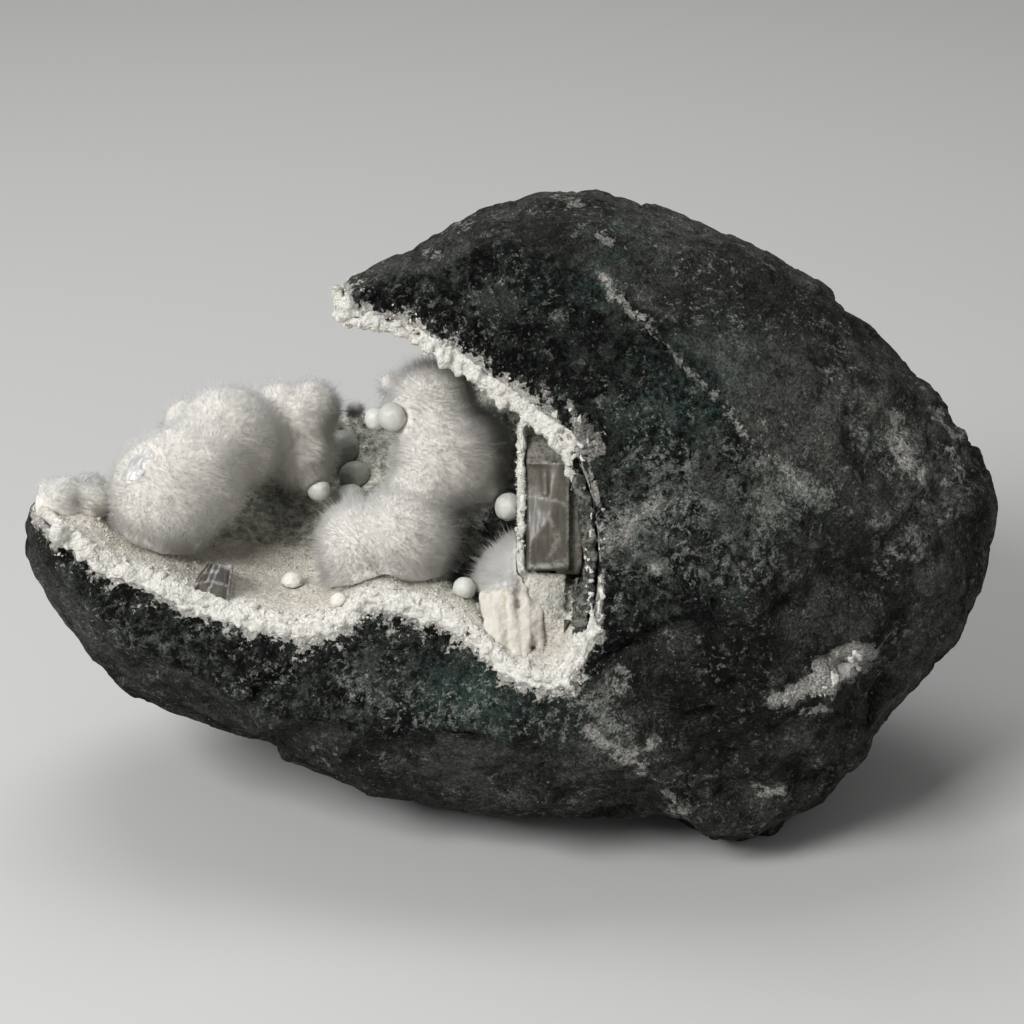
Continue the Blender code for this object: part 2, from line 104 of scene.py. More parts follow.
# Cracks of the basalt, as pixels: each a path with its depth and half its width in millimetres
CRACKS = (
    (((771, 591), (790, 600), (820, 628), (851, 652)), 0.6, 0.5),
    (((630, 707), (670, 712), (713, 707)), 0.5, 0.5),
    (((600, 655), (640, 640), (690, 655)), 0.4, 0.5),
    (((340, 770), (400, 776), (470, 790)), 0.5, 0.6),
    (((470, 716), (530, 722), (575, 735)), 0.4, 0.5),
)

# Streaky faces of the basalt, as pixels: each a path with half its width in millimetres and its strength
STREAKED_PATHS = (
    (((680, 680), (760, 690), (800, 700)), 9.0, 1.0),
    (((620, 790), (720, 800)), 5.0, 0.8),
)

# White growths on the basalt, as pixels: each a path, half its width in millimetres and how thick it is
WHITE_PATHS = (
    (((548, 412), (560, 428), (583, 450)), 1.6, 0.9),
    (((571, 406), (590, 440), (592, 455)), 1.2, 0.8),
    (((543, 385), (551, 400)), 0.9, 0.8),
    (((592, 470), (598, 500)), 0.9, 0.7),
    (((600, 575), (601, 600), (597, 640)), 1.3, 0.8),
    (((548, 686), (562, 692), (574, 690)), 1.6, 0.9),
    (((590, 700), (606, 694), (622, 680)), 2.6, 0.62),
    (((588, 732), (612, 748), (640, 766)), 1.9, 0.66),
    (((640, 766), (664, 795), (684, 818)), 1.6, 0.50),
    (((606, 545), (628, 520), (650, 500)), 2.6, 0.55),
    (((600, 275), (612, 290), (640, 320)), 0.9, 0.66),
    (((640, 320), (680, 365), (715, 395), (745, 435)), 1.1, 0.55),
    (((600, 238), (608, 244)), 1.3, 0.62),
    (((556, 198), (580, 204)), 1.6, 0.5),
    (((424, 250), (436, 254)), 1.4, 0.5),
    (((455, 222), (466, 228)), 1.2, 0.5),
    (((774, 703), (800, 694), (830, 680), (850, 664), (868, 650)), 1.7, 0.9),
    (((830, 680), (848, 668), (860, 656)), 2.8, 1.25),
    (((868, 650), (890, 640), (906, 631)), 0.8, 0.5),
    (((784, 706), (806, 712), (830, 706)), 1.0, 0.5),
    (((756, 790), (768, 794), (782, 790)), 1.3, 0.7),
    (((786, 470), (800, 480), (816, 494)), 1.6, 0.52),
    (((893, 415), (897, 440), (902, 462), (920, 480)), 1.9, 0.62),
    (((912, 512), (930, 490), (952, 480)), 1.1, 0.5),
    (((936, 404), (944, 420), (956, 436)), 1.3, 0.55),
    (((952, 450), (962, 478)), 1.5, 0.58),
    (((640, 748), (655, 742)), 1.4, 0.6),
    (((655, 566), (660, 574)), 1.0, 0.6),
)

# Pale mottles of the basalt, as pixels: each a path with half its width in millimetres and its strength
PALE_PATHS = (
    (((620, 540), (650, 490), (720, 480), (780, 500)), 12.0, 0.46),
    (((700, 560), (770, 560)), 7.0, 0.42),
    (((606, 545), (630, 525), (655, 500)), 4.0, 0.62),
    (((690, 470), (720, 500), (740, 540)), 4.0, 0.60),
    (((650, 560), (665, 575)), 2.5, 0.62),
    (((780, 470), (800, 485), (820, 500)), 3.5, 0.60),
    (((880, 420), (930, 480), (900, 540)), 9.0, 0.42),
    (((600, 700), (620, 760), (680, 800)), 5.0, 0.46),
    (((130, 620), (250, 680), (420, 700), (560, 720)), 9.0, 0.36),
    (((450, 230), (560, 215), (640, 230)), 4.0, 0.30),
    (((640, 260), (760, 330), (860, 420)), 14.0, 0.22),
)

# Green stains on the basalt, as pixels: each a path with half its width in millimetres and its strength
GREEN_PATHS = (
    (((450, 690), (500, 700), (560, 705)), 9.0, 0.7),
    (((736, 600), (740, 606)), 1.3, 1.3),
    (((640, 420), (700, 380), (720, 330)), 12.0, 0.42),
    (((560, 290), (620, 260)), 9.0, 0.42),
    (((770, 560), (800, 520)), 8.0, 0.42),
)

# The foot of the back wall, above which the druse is painted in grey shade, as pixels from left to right,
# where stone shows at the crust's right edge, and the recess behind the right cluster, painted dark as shade,
# as a path with half its width in millimetres and its strength
BACK_WALL_FOOT = ((20, 470), (150, 520), (240, 542), (310, 546), (420, 590), (470, 602), (524, 612))
BARE_RIM_ACROSS = (10.5, 12.5)
RECESS_SHADE_PATHS = ((((462, 585), (492, 560), (506, 500), (500, 430)), 3.6, 1.0),)

# The wedge's face, kept free of knobs: a middle and a radius in pixels
FREE_MIDDLE = (209, 583)
FREE_RADIUS = 19

# Rows of white knobs, as pixels: each a path with half its width in pixels, their number and their size
KNOB_PATHS = (
    (((548, 412), (560, 428), (583, 450)), 5, 90, 0.5),
    (((571, 406), (590, 440), (592, 455)), 4, 60, 0.45),
    (((600, 575), (601, 600), (597, 640)), 4, 90, 0.5),
    (((586, 550), (592, 590), (590, 640)), 4, 90, 0.55),
    (((572, 448), (586, 464), (592, 490), (591, 540)), 3, 80, 0.4),
    (((548, 686), (562, 692), (574, 690)), 4, 50, 0.6),
    (((352, 596), (368, 586), (390, 588), (415, 592), (440, 594)), 4, 110, 0.5),
    (((806, 696), (830, 684), (850, 669), (862, 655)), 6, 170, 0.42),
    (((836, 676), (846, 668), (858, 658)), 7, 260, 0.5),
)

# The thin strip of druse beside the blade, as pixels, with half its width in millimetres and its strength
STRIP_PATHS = ((((521, 430), (521, 640)), 1.2, 0.95),)

# The wedge as the eye sees it, in pixels: top left, top right, foot right and foot left
WEDGE_CORNERS = ((205, 562), (234, 565), (229, 603), (184, 601))

# The satin patch on the left cluster, where the fibres lie flat under a painted sheen: a middle, radii and
# slope in pixels
SATIN_MIDDLE = (134, 467)
SATIN_RADII = (20, 7)
SATIN_SLOPE = math.radians(50)

# Okenite balls: across, up and away of the middle, and radius. They are those of the solids and then fillers,
# which soften the creases between them. Below them: from which ball on they are fillers.
OKENITE_BALLS = {
    "okenite_cluster_left": (
        (-67.2, 4.1, -6, 13.4), (-64.0, 6.3, -5, 12.8), (-56.4, 14.4, 3, 12.0), (-63.4, 16.8, 7, 7.2),
        (-45.4, 19.3, 13, 8.1), (-40.3, 19.7, 14, 8.0), (-42.0, 12.0, 13, 8.9), (-46, 14, 21, 8.5),
        (-60.8, 9.6, -2.0, 11.4), (-51.0, 16.4, 8, 7.8), (-42.6, 17.0, 12.5, 8.6),
    ),
    "okenite_cluster_right": (
        (-12.6, 10.3, -3, 12.5), (-15.8, 21.1, -1, 10.2), (-21.1, -4.5, -9, 11.5), (-28.4, -7.1, -7, 11.4),
        (-24.2, 25.2, 3, 3.9), (-9, 13, 9, 10.0), (-14.4, 16.0, -2.4, 10.2), (-17.6, 3.0, -5.8, 9.4),
    ),
    "okenite_ball_front": ((1.2, -13.0, -12, 8.3), (0.2, -22.0, -13.5, 7.4)),
    "okenite_ball_back": ((-31.0, 20.1, 22, 2.4),),
    "okenite_broken_left": (
        (-89.6, 2.2, -2.5, 6.0), (-83.8, 3.2, 0, 5.2), (-89.4, 1.6, -6.0, 5.4), (-84.0, 1.8, -4.0, 4.6),
        (-88.4, 4.2, -3.5, 4.2),
    ),
}
OKENITE_FILLERS = {"okenite_cluster_left": 8, "okenite_cluster_right": 6, "okenite_broken_left": 2}

# The fur of each piece: its share of the fibres, of their common length, and how far they gather in tufts
OKENITE_FUR = {
    "okenite_cluster_left": (1.0, 0.9, 0.02),
    "okenite_cluster_right": (1.0, 1.1, 0.03),
    "okenite_ball_front": (0.34, 1.1, 0.06),
    "okenite_ball_back": (0.06, 0.7, 0.1),
    "okenite_broken_left": (0.22, 0.45, 0.1),
}

# Noise vectors are seeded from the clock unless a seed is set
TUFT_SEED = 7

# What the random draws start from, the share of long fibres, and how deep a fibre's foot is sunk
DRUSE_SEED = 11
OKENITE_SEED = 100
LONG_SHARE = 0.08
FIBRE_ROOT = 0.25 * MM

# Folds of the front ball's coated lobe: the pixels of top and foot, how far away each lies, and a radius
LOBE_FOLDS = (
    ((484, 596), (490, 636), -19.0, -21.8, 1.5),
    ((495, 589), (501, 648), -20.0, -23.6, 1.65),
    ((510, 587), (514, 656), -20.8, -24.4, 1.8),
    ((524, 589), (527, 656), -20.5, -24.0, 1.7),
    ((537, 594), (540, 650), -18.9, -22.2, 1.6),
)

# How much painted shade darkens each gyrolite bead deep in the hollow or behind other parts, and how
# thickly druse sugars it over, where not 0 and 0
GYROLITE_LOOKS = {
    "gyrolite_bead_1": (0.25, 0.0),
    "gyrolite_bead_2": (0.0, 1.0),
    "gyrolite_bead_3": (0.0, 1.0),
    "gyrolite_bead_4": (0.85, 0.0),
    "gyrolite_bead_5": (0.85, 0.0),
    "gyrolite_bead_6": (0.8, 0.0),
    "gyrolite_bead_8": (0.15, 0.0),
    "gyrolite_bead_9": (0.25, 0.0),
    "gyrolite_bead_10": (0.3, 0.0),
}

# The cloudy top of the calcite blade in millimetres, how far it leans back, and frost on the calcite as
# pixels: each a path with half its width in millimetres and its strength
BLADE_TOP_MIDDLE = (7.3, 12.2, -15)
BLADE_TOP_SIZE = (8.8, 5.8, 12)
BLADE_TOP_LEAN = 5
FROST_PATHS = (
    (((526, 446), (572, 446)), 2.9, 0.75),
    (((528, 567), (548, 566), (568, 562)), 0.6, 0.9),
    (((578, 480), (580, 560)), 1.8, 0.35),
    (((208, 558), (218, 560), (232, 567)), 0.8, 1.0),
    (((233, 567), (229, 602)), 0.5, 1.0),
    (((196, 584), (210, 581), (228, 586)), 0.25, 0.8),
    (((205, 573), (218, 571)), 0.2, 0.7),
    (((526, 497), (540, 498), (556, 501), (568, 506)), 0.3, 0.8),
    (((527, 462), (570, 463)), 0.3, 0.7),
    (((569, 466), (570, 560)), 0.5, 0.8),
    (((550, 520), (558, 540), (548, 558)), 0.5, 0.5),
)


# Settings

def length_setting(name, description, millimetres):
    """A length that a user may change."""
    return FloatProperty(name=name, description=description, default=millimetres * MM, unit="LENGTH")


def colour_setting(name, description, colour):
    """A colour that a user may change."""
    return FloatVectorProperty(name=name, description=description, default=colour, subtype="COLOR")


def number_setting(name, description, count):
    """A number of small shapes that a user may change."""
    return IntProperty(name=name, description=description, default=count, min=0)


def power_setting(name, description, watts):
    """The power of a light that a user may change."""
    return FloatProperty(name=name, description=description, default=watts, unit="POWER")


class BasaltSettings(bpy.types.PropertyGroup):
    """Sizes and colours of the basalt."""

    cell: length_setting("Skin cell", "Size of the cells of the basalt's skin", 1.05)
    facet_height: length_setting("Facet height", "How far the chipped facets stand out", 3.0)
    grain_height: length_setting("Grain height", "How far the coarse grain stands out", 0.5)
    fresh_colour: colour_setting("Fresh break", "Colour of the broken faces", (0.043, 0.051, 0.044))
    weathered_colour: colour_setting("Weathered skin", "Colour of the old outside", (0.052, 0.054, 0.047))
    green_colour: colour_setting("Green stain", "Colour of the clay in the basalt", (0.034, 0.062, 0.052))
    pale_colour: colour_setting("Pale mottles", "Colour of the pale grains", (0.27, 0.285, 0.25))


class DruseSettings(bpy.types.PropertyGroup):
    """Sizes and colours of the white druse."""

    cell: length_setting("Skin cell", "Size of the cells of the druse's skin", 0.86)
    lump_height: length_setting("Lump height", "How far the sugary lumps stand out", 0.35)
    crystals: number_setting("Crystals", "Crystal points on the druse", 10000)
    crystal_size: length_setting("Crystal size", "Length of a common crystal point", 0.62)
    rim_grains: number_setting("Rim grains", "White grains on the basalt", 5200)
    knobs: number_setting("Knobs", "Knobs on the crust's edge", 2300)
    knob_size: length_setting("Knob size", "Width of a common knob", 0.95)
    knob_cell: length_setting("Knob cell", "Size of the cells of the knobs' skin", 0.41)
    colour: colour_setting("White", "Colour of the druse", (0.66, 0.645, 0.59))
    floor_colour: colour_setting("Cream", "Colour of the druse on the floor", (0.56, 0.53, 0.46))
    # Painted shade: the druse deep in the hollow, above the foot of the back wall, is drawn in this darker
    # grey
    back_wall_shade_colour: colour_setting("Grey", "Colour of the thin lining at the back", (0.40, 0.40, 0.35))


class OkeniteSettings(bpy.types.PropertyGroup):
    """Sizes and colours of the okenite balls."""

    fibre_length: length_setting("Fibre length", "Free length of a long fibre", 2.2)
    fibre_width: length_setting("Fibre width", "Width of a fibre's foot", 0.075)
    fibres: number_setting("Fibres", "Fibres on each cluster", 37000)
    core_cell: length_setting("Core cell", "Size of the cells of the matted core", 0.95)
    colour: colour_setting("White", "Colour of the fibres", (0.645, 0.615, 0.565))
    # Painted shade: a little darker than the fibres, as shade deep in the fur
    shaded_core_colour: colour_setting("Core", "Colour of the matted core", (0.62, 0.59, 0.535))


class GyroliteSettings(bpy.types.PropertyGroup):
    """Sizes and colours of the gyrolite beads."""

    cell: length_setting("Skin cell", "Size of the cells of a bead's skin", 0.30)
    colour: colour_setting("Pearl", "Colour of the beads", (0.60, 0.60, 0.56))
    # Painted shade: the colour of beads that lie deep in the hollow
    pearl_shade_colour: colour_setting("Dim pearl", "Colour of the beads at the back wall", (0.25, 0.255, 0.225))


class CalciteSettings(bpy.types.PropertyGroup):
    """Sizes and colours of the calcite."""

    cell: length_setting("Skin cell", "Size of the cells of a crystal's skin", 0.48)
    step_height: length_setting("Step height", "How far the cleavage steps stand out", 0.24)
    colour: colour_setting("Clear", "Colour of the clear crystal", (0.082, 0.069, 0.045))
    smoke_colour: colour_setting("Smoke", "Colour of the dark wedge", (0.022, 0.020, 0.016))


class StageSettings(bpy.types.PropertyGroup):
    """The floor and the lights."""

    floor_size: length_setting("Floor", "Side of the floor", 4000)
    floor_colour: colour_setting("Floor colour", "Colour of the floor", (0.42, 0.42, 0.415))
    key_power: power_setting("Key light", "Power of the main light", 14)
    fill_power: power_setting("Fill light", "Power of the side light", 1.2)
    top_power: power_setting("Top light", "Power of the light above", 4.5)


class GeodeSettings(bpy.types.PropertyGroup):
    """All sizes and colours of the geode."""

    basalt: PointerProperty(type=BasaltSettings)
    druse: PointerProperty(type=DruseSettings)
    okenite: PointerProperty(type=OkeniteSettings)
    gyrolite: PointerProperty(type=GyroliteSettings)
    calcite: PointerProperty(type=CalciteSettings)
    stage: PointerProperty(type=StageSettings)


# Places in the view

TO_EYE = Vector((0, -math.cos(LOOK_DOWN), math.sin(LOOK_DOWN)))
UP_VIEW = Vector((0, math.sin(LOOK_DOWN), math.cos(LOOK_DOWN)))
EYE = AIM + TO_EYE * EYE_DISTANCE


def seen_from_eye(points):
    """Across, up and away of points of the frame."""
    offset = points - np.array(AIM)
    away = -offset @ np.array(TO_EYE)
    spread = 1 + away / EYE_DISTANCE
    return np.stack([offset[:, 0] / spread, offset @ np.array(UP_VIEW) / spread, away], 1) / MM


def toward_eye(facing):
    """How squarely each direction faces the eye, from -1 to 1."""
    return facing @ np.array(TO_EYE)


def in_view(pixels):
    """Across and up of pixels."""
    return (np.array(pixels, float) - VIEW_PIXELS / 2) * (PIXEL, -PIXEL)


def path_offset(points, pixels):
    """How far the across and up places lie from a path of pixels, and how far below it."""
    path = in_view(pixels)
    nearest = np.full(len(points), np.inf)
    below = np.zeros(len(points))
    for start, end in zip(path[:-1], path[1:]):
        along = end - start
        part = np.clip((points - start) @ along / (along @ along), 0, 1)
        offset = points - start - part[:, None] * along
        distance = np.linalg.norm(offset, axis=1)
        side = along[1] * offset[:, 0] - along[0] * offset[:, 1]
        closer = distance < nearest
        below[closer] = np.sign(side[closer]) * distance[closer]
        nearest[closer] = distance[closer]
    return nearest, below


def fade(values, start, end):
    """A smooth step from 0 at the start to 1 at the end."""
    part = np.clip((values - start) / (end - start), 0, 1)
    return part * part * (3 - 2 * part)


def front_break(across, up):
    """How far away the broken front lies on a line of sight."""
    middle_across, middle_up, away = FRONT_BREAK_MIDDLE
    radius_across, radius_up = FRONT_BREAK_RADII
    return away - (across - middle_across) ** 2 / 2 / radius_across - (up - middle_up) ** 2 / 2 / radius_up


# Noise on lists of points in metres, with spacings in millimetres

def lumps(points, spacing, detail=4):
    """Smooth random heights between about -1 and 1."""
    places = (points / (spacing * MM)).tolist()
    return np.array([noise.fractal(place, 0.9, 2.1, detail) for place in places])


def facets(points, spacing):
    """Flat chips that meet in sharp steps, with heights between about -1 and 1."""
    heights = []
    for place in (points / (spacing * MM)).tolist():
        middle = noise.voronoi(place)[1][0]
        tilt = noise.cell_vector(middle * 3) - Vector((0.5, 0.5, 0.5))
        heights.append(tilt.dot(Vector(place) - middle))
    return 2 * np.array(heights)


def grains(points, spacing):
    """Round grains: 1 in the middle of each and about 0 between them."""
    places = (points / (spacing * MM)).tolist()
    return np.array([1 - noise.voronoi(place)[0][0] for place in places])


# Meshes

def new_object(name, mesh):
    """A linked object of this mesh."""
    made = bpy.data.objects.new(name, mesh)
    bpy.context.scene.collection.objects.link(made)
    return made


def tree_of(nodes):
    """The solids of these nodes, to measure distances to."""
    bm = bmesh.new()
    for node in nodes:
        bm.from_mesh(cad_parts[node].data)
    tree = BVHTree.FromBMesh(bm)
    bm.free()
    return tree


def skin(node, cell, grow=None):
    """An even skin of small cells over a solid of the frame, and over what grows on it."""
    bm = bmesh.new()
    bm.from_mesh(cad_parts[node].data)
    bmesh.ops.remove_doubles(bm, verts=bm.verts, dist=MERGE)
    if grow:
        grow(bm)
    mesh = bpy.data.meshes.new(node)
    bm.to_mesh(mesh)
    bm.free()
    return even_cells(mesh, cell)


def even_cells(mesh, cell):
    """One outer skin of small cells over all closed shapes of a mesh."""
    rough = new_object(mesh.name, mesh)
    remesh = rough.modifiers.new("even cells", "REMESH")
    remesh.mode = "VOXEL"
    remesh.voxel_size = cell
    made = bpy.data.meshes.new_from_object(rough.evaluated_get(bpy.context.evaluated_depsgraph_get()))
    bpy.data.objects.remove(rough)
    return made


def points_of(mesh):
    """The places of a mesh's points."""
    flat = np.empty(len(mesh.vertices) * 3, np.float32)
    mesh.vertices.foreach_get("co", flat)
    return flat.reshape(-1, 3).astype(float)


def normals_of(mesh):
    """The directions in which a mesh's points face."""
    flat = np.empty(len(mesh.vertices) * 3, np.float32)
    mesh.vertex_normals.foreach_get("vector", flat)
    return flat.reshape(-1, 3).astype(float)


def triangles_of(mesh):
    """The three points of each triangle."""
    mesh.calc_loop_triangles()
    flat = np.empty(len(mesh.loop_triangles) * 3, np.int32)
    mesh.loop_triangles.foreach_get("vertices", flat)
    return flat.reshape(-1, 3)


def place_points(mesh, points):
    """Moves a mesh's points."""
    mesh.vertices.foreach_set("co", points.astype(np.float32).ravel())
    mesh.update()


def smooth_points(mesh, rounds):
    """Evens out a mesh."""
    bm = bmesh.new()
    bm.from_mesh(mesh)
    for _ in range(rounds):
        bmesh.ops.smooth_vert(
            bm, verts=bm.verts, factor=0.5, use_axis_x=True, use_axis_y=True, use_axis_z=True
        )
    bm.to_mesh(mesh)
    bm.free()


def store(mesh, name, values):
    """Keeps a value for each point under a name that materials read."""
    attribute = mesh.attributes.new(name, "FLOAT", "POINT")
    attribute.data.foreach_set("value", np.asarray(values, np.float32))


def distances(points, tree, most):
    """How far each point lies from the solids of a tree."""
    found = []
    for point in points.tolist():
        distance = tree.find_nearest(point, most)[3]
        found.append(most if distance is None else distance)
    return np.array(found)


def sown(mesh, weights, count, rng):
    """Random places on a mesh, with the way it faces there. Triangles draw them by area times weight."""
    points, facing, triangles = points_of(mesh), normals_of(mesh), triangles_of(mesh)
    corners = points[triangles]
    area = np.linalg.norm(np.cross(corners[:, 1] - corners[:, 0], corners[:, 2] - corners[:, 0]), axis=1)
    share = area * weights[triangles].mean(1)
    chosen = rng.choice(len(triangles), count, p=share / share.sum())
    parts = rng.dirichlet((1, 1, 1), count)[:, :, None]
    places = (points[triangles[chosen]] * parts).sum(1)
    ways = (facing[triangles[chosen]] * parts).sum(1)
    return places, unit(ways)


def unit(vectors):
    """The directions of vectors."""
    return vectors / np.maximum(np.linalg.norm(vectors, axis=1), 1e-12)[:, None]


def frames_of(ways, rng):
    """Two directions across each given one, turned at random."""
    other = unit(np.cross(ways, rng.normal(size=ways.shape)))
    return other, np.cross(ways, other)


def copies(name, shape, faces, places, axes, sizes):
    """One mesh of many small shapes: shape in units, laid along three axes and three sizes for each copy."""
    count, corners = len(places), len(shape)
    points = places[:, None, :] + sum(
        shape[None, :, axis, None] * axes[axis][:, None, :] * sizes[axis][:, None, None] for axis in range(3)
    )
    mesh = bpy.data.meshes.new(name)
    mesh.vertices.add(count * corners)
    mesh.vertices.foreach_set("co", points.astype(np.float32).ravel())
    loops = (faces[None] + corners * np.arange(count)[:, None, None]).astype(np.int32).ravel()
    mesh.loops.add(len(loops))
    mesh.loops.foreach_set("vertex_index", loops)
    mesh.polygons.add(len(loops) // 3)
    mesh.polygons.foreach_set("loop_start", np.arange(0, len(loops), 3, dtype=np.int32))
    mesh.update(calc_edges=True)
    return mesh


def shape_of(create, **sizes):
    """The points and triangles of a small closed shape."""
    bm = bmesh.new()
    create(bm, **sizes)
    bmesh.ops.triangulate(bm, faces=bm.faces)
    bmesh.ops.recalc_face_normals(bm, faces=bm.faces)
    bm.verts.index_update()
    points = np.array([vert.co[:] for vert in bm.verts])
    faces = np.array([[vert.index for vert in face.verts] for face in bm.faces])
    bm.free()
    return points, faces


def spike(sides):
    """The points and triangles of a cone one unit long and wide."""
    return shape_of(bmesh.ops.create_cone, segments=sides, radius1=0.5, radius2=0.0, depth=1.0, cap_ends=True)


def joined(name, meshes, smooth):
    """One mesh of several, each smooth or flat, with the values that they keep."""
    objects = []
    for mesh, round_shape in zip(meshes, smooth):
        mesh.polygons.foreach_set("use_smooth", np.full(len(mesh.polygons), round_shape))
        objects.append(new_object(name, mesh))
    if len(objects) > 1:
        with bpy.context.temp_override(active_object=objects[0], selected_editable_objects=objects):
            bpy.ops.object.join()
    made = objects[0]
    made.name = name
    return made


def finish_piece(piece, material, slot, *nodes):
    """Dresses a piece, lets it ride with the stone and stand for its solids."""
    piece.data.materials.clear()
    piece.data.materials.append(material)
    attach(piece, BODY)
    if nodes:
        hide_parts(*nodes)


# Materials

# Where a Mix node keeps its share, its two colours and its result
MIX_SHARE, MIX_FIRST, MIX_SECOND, MIX_RESULT = 0, 6, 7, 2

# Colours that belong to one spot of a material
WHITE_GROWTH = (0.60, 0.58, 0.53, 1)
PALE_SPARK = (0.32, 0.34, 0.30, 1)
# Bare stone at the crust's edge, also used for the painted dark shade in the recess behind the right cluster
BARE_STONE_AND_SHADE_DARK = (0.010, 0.012, 0.010, 1)
BARE_STONE_AND_SHADE_PALE = (0.15, 0.15, 0.125, 1)
# Olive tint of the coated lobe, made stronger in the grooves between its folds as painted shade
OLIVE_COAT_AND_GROOVE_SHADE = (0.42, 0.39, 0.30, 1)
DUST_SPECK = (0.06, 0.045, 0.035, 1)
# Painted sheen of the satin patch
SATIN_PAINTED_SHEEN = (0.92, 0.91, 0.88, 1)
BEAD_SUGAR = (0.56, 0.54, 0.485, 1)
PALE_FLAW = (0.26, 0.24, 0.20, 1)
CALCITE_FROST = (0.56, 0.55, 0.49, 1)


def add(tree, kind, inputs=None, **settings):
    """A node with these settings, and with each input set to a value or linked to a socket."""
    made = tree.nodes.new(kind)
    for name, value in settings.items():
        setattr(made, name, value)
    fill(tree, made, inputs or {})
    return made


def fill(tree, node, inputs):
    """Sets each of these inputs to a value, or links it to a socket."""
    for name, value in inputs.items():
        if isinstance(value, bpy.types.NodeSocket):
            tree.links.new(value, node.inputs[name])
        else:
            node.inputs[name].default_value = value


def calculate(tree, operation, first, second, clamp=False):
    """The result of a sum on two values or sockets."""
    inputs = {0: first, 1: second}
    return add(tree, "ShaderNodeMath", inputs, operation=operation, use_clamp=clamp).outputs[0]


def times(tree, first, second):
    """The product of two values or sockets."""
    return calculate(tree, "MULTIPLY", first, second)


def plus(tree, first, second, clamp=False):
    """The sum of two values or sockets."""
    return calculate(tree, "ADD", first, second, clamp)


def minus(tree, first, second, clamp=False):
    """The first value or socket less the second."""
    return calculate(tree, "SUBTRACT", first, second, clamp)


def between(tree, value, low, high, start=0.0, end=1.0):
    """A value taken from one range to another, smoothly and no further."""
    inputs = {"Value": value, "From Min": low, "From Max": high, "To Min": start, "To Max": end}
    return add(tree, "ShaderNodeMapRange", inputs, interpolation_type="SMOOTHSTEP").outputs["Result"]


def blend(tree, share, first, second, way="MIX"):
    """A mix of two colours."""
    inputs = {MIX_SHARE: share, MIX_FIRST: first, MIX_SECOND: second}
    return add(tree, "ShaderNodeMix", inputs, data_type="RGBA", blend_type=way).outputs[MIX_RESULT]


def shaded(tree, colour, tone):
    """A colour made darker or lighter by a tone."""
    return blend(tree, 1.0, colour, tone, "MULTIPLY")


def opaque(colour, strength=1.0):
    """A colour with its fourth number."""
    return (*(part * strength for part in colour), 1)


def stored(tree, name):
    """A value kept on a piece's points."""
    return add(tree, "ShaderNodeAttribute", attribute_name=name).outputs["Fac"]


def here(tree):
    """The place on the piece, in metres."""
    return add(tree, "ShaderNodeTexCoord").outputs["Object"]


def cloud(tree, place, spacing, detail=4.0, roughness=0.6):
    """Soft noise from 0 to 1, with its spacing in millimetres."""
    inputs = {"Vector": place, "Scale": 1 / (spacing * MM), "Detail": detail, "Roughness": roughness}
    return add(tree, "ShaderNodeTexNoise", inputs).outputs["Fac"]


def new_group(name, inputs, outputs):
    """A node group with named inputs, each with a default, and named outputs."""
    group = bpy.data.node_groups.new(name, "ShaderNodeTree")
    for label, default in inputs:
        socket_type = "NodeSocketVector" if default is None else "NodeSocketFloat"
        socket = group.interface.new_socket(label, in_out="INPUT", socket_type=socket_type)
        if default is not None:
            socket.default_value = default
    for label in outputs:
        group.interface.new_socket(label, in_out="OUTPUT", socket_type="NodeSocketFloat")
    return group, add(group, "NodeGroupInput").outputs, add(group, "NodeGroupOutput")


def ragged_cover_group():
    """Turns how thickly something covers into a mask with a ragged, branching edge."""
    inputs = (("Place", None), ("Cover", 0.0), ("Spacing", 1.0 * MM), ("Softness", 0.08))
    group, given, out = new_group("Ragged cover", inputs, ("Mask",))
    scale = calculate(group, "DIVIDE", 1.0, given["Spacing"])
    inputs = {"Vector": given["Place"], "Scale": scale, "Detail": 5.0, "Roughness": 0.72, "Distortion": 0.25}
    coarse = add(group, "ShaderNodeTexNoise", inputs).outputs["Fac"]
    threshold = minus(group, 1.0, given["Cover"])
    spread = between(group, coarse, 0.25, 0.75)
    high = plus(group, threshold, given["Softness"])
    mask = add(group, "ShaderNodeMapRange", {"Value": spread, "From Min": threshold, "From Max": high})
    wanted = between(group, given["Cover"], 0.02, 0.12)
    group.links.new(times(group, mask.outputs["Result"], wanted), out.inputs["Mask"])
    return group


def grain_group():
    """Fine crystalline grain: a tone, a height, and a mask of the few cells that catch the light."""
    inputs = (("Place", None), ("Spacing", 0.5 * MM))
    group, given, out = new_group("Grain", inputs, ("Tone", "Height", "Glint"))
    scale = calculate(group, "DIVIDE", 1.0, given["Spacing"])
    cells = add(group, "ShaderNodeTexVoronoi", {"Vector": given["Place"], "Scale": scale})
    inputs = {"Vector": given["Place"], "Scale": scale, "Detail": 5.0, "Roughness": 0.7}
    fine = add(group, "ShaderNodeTexNoise", inputs).outputs["Fac"]
    shade = add(group, "ShaderNodeSeparateColor", {"Color": cells.outputs["Color"]})
    tone = plus(group, times(group, shade.outputs[0], 0.4), fine)
    rise = minus(group, fine, times(group, cells.outputs["Distance"], 0.5))
    group.links.new(minus(group, tone, 0.2), out.inputs["Tone"])
    group.links.new(rise, out.inputs["Height"])
    group.links.new(between(group, shade.outputs[1], 0.90, 0.96), out.inputs["Glint"])
    return group


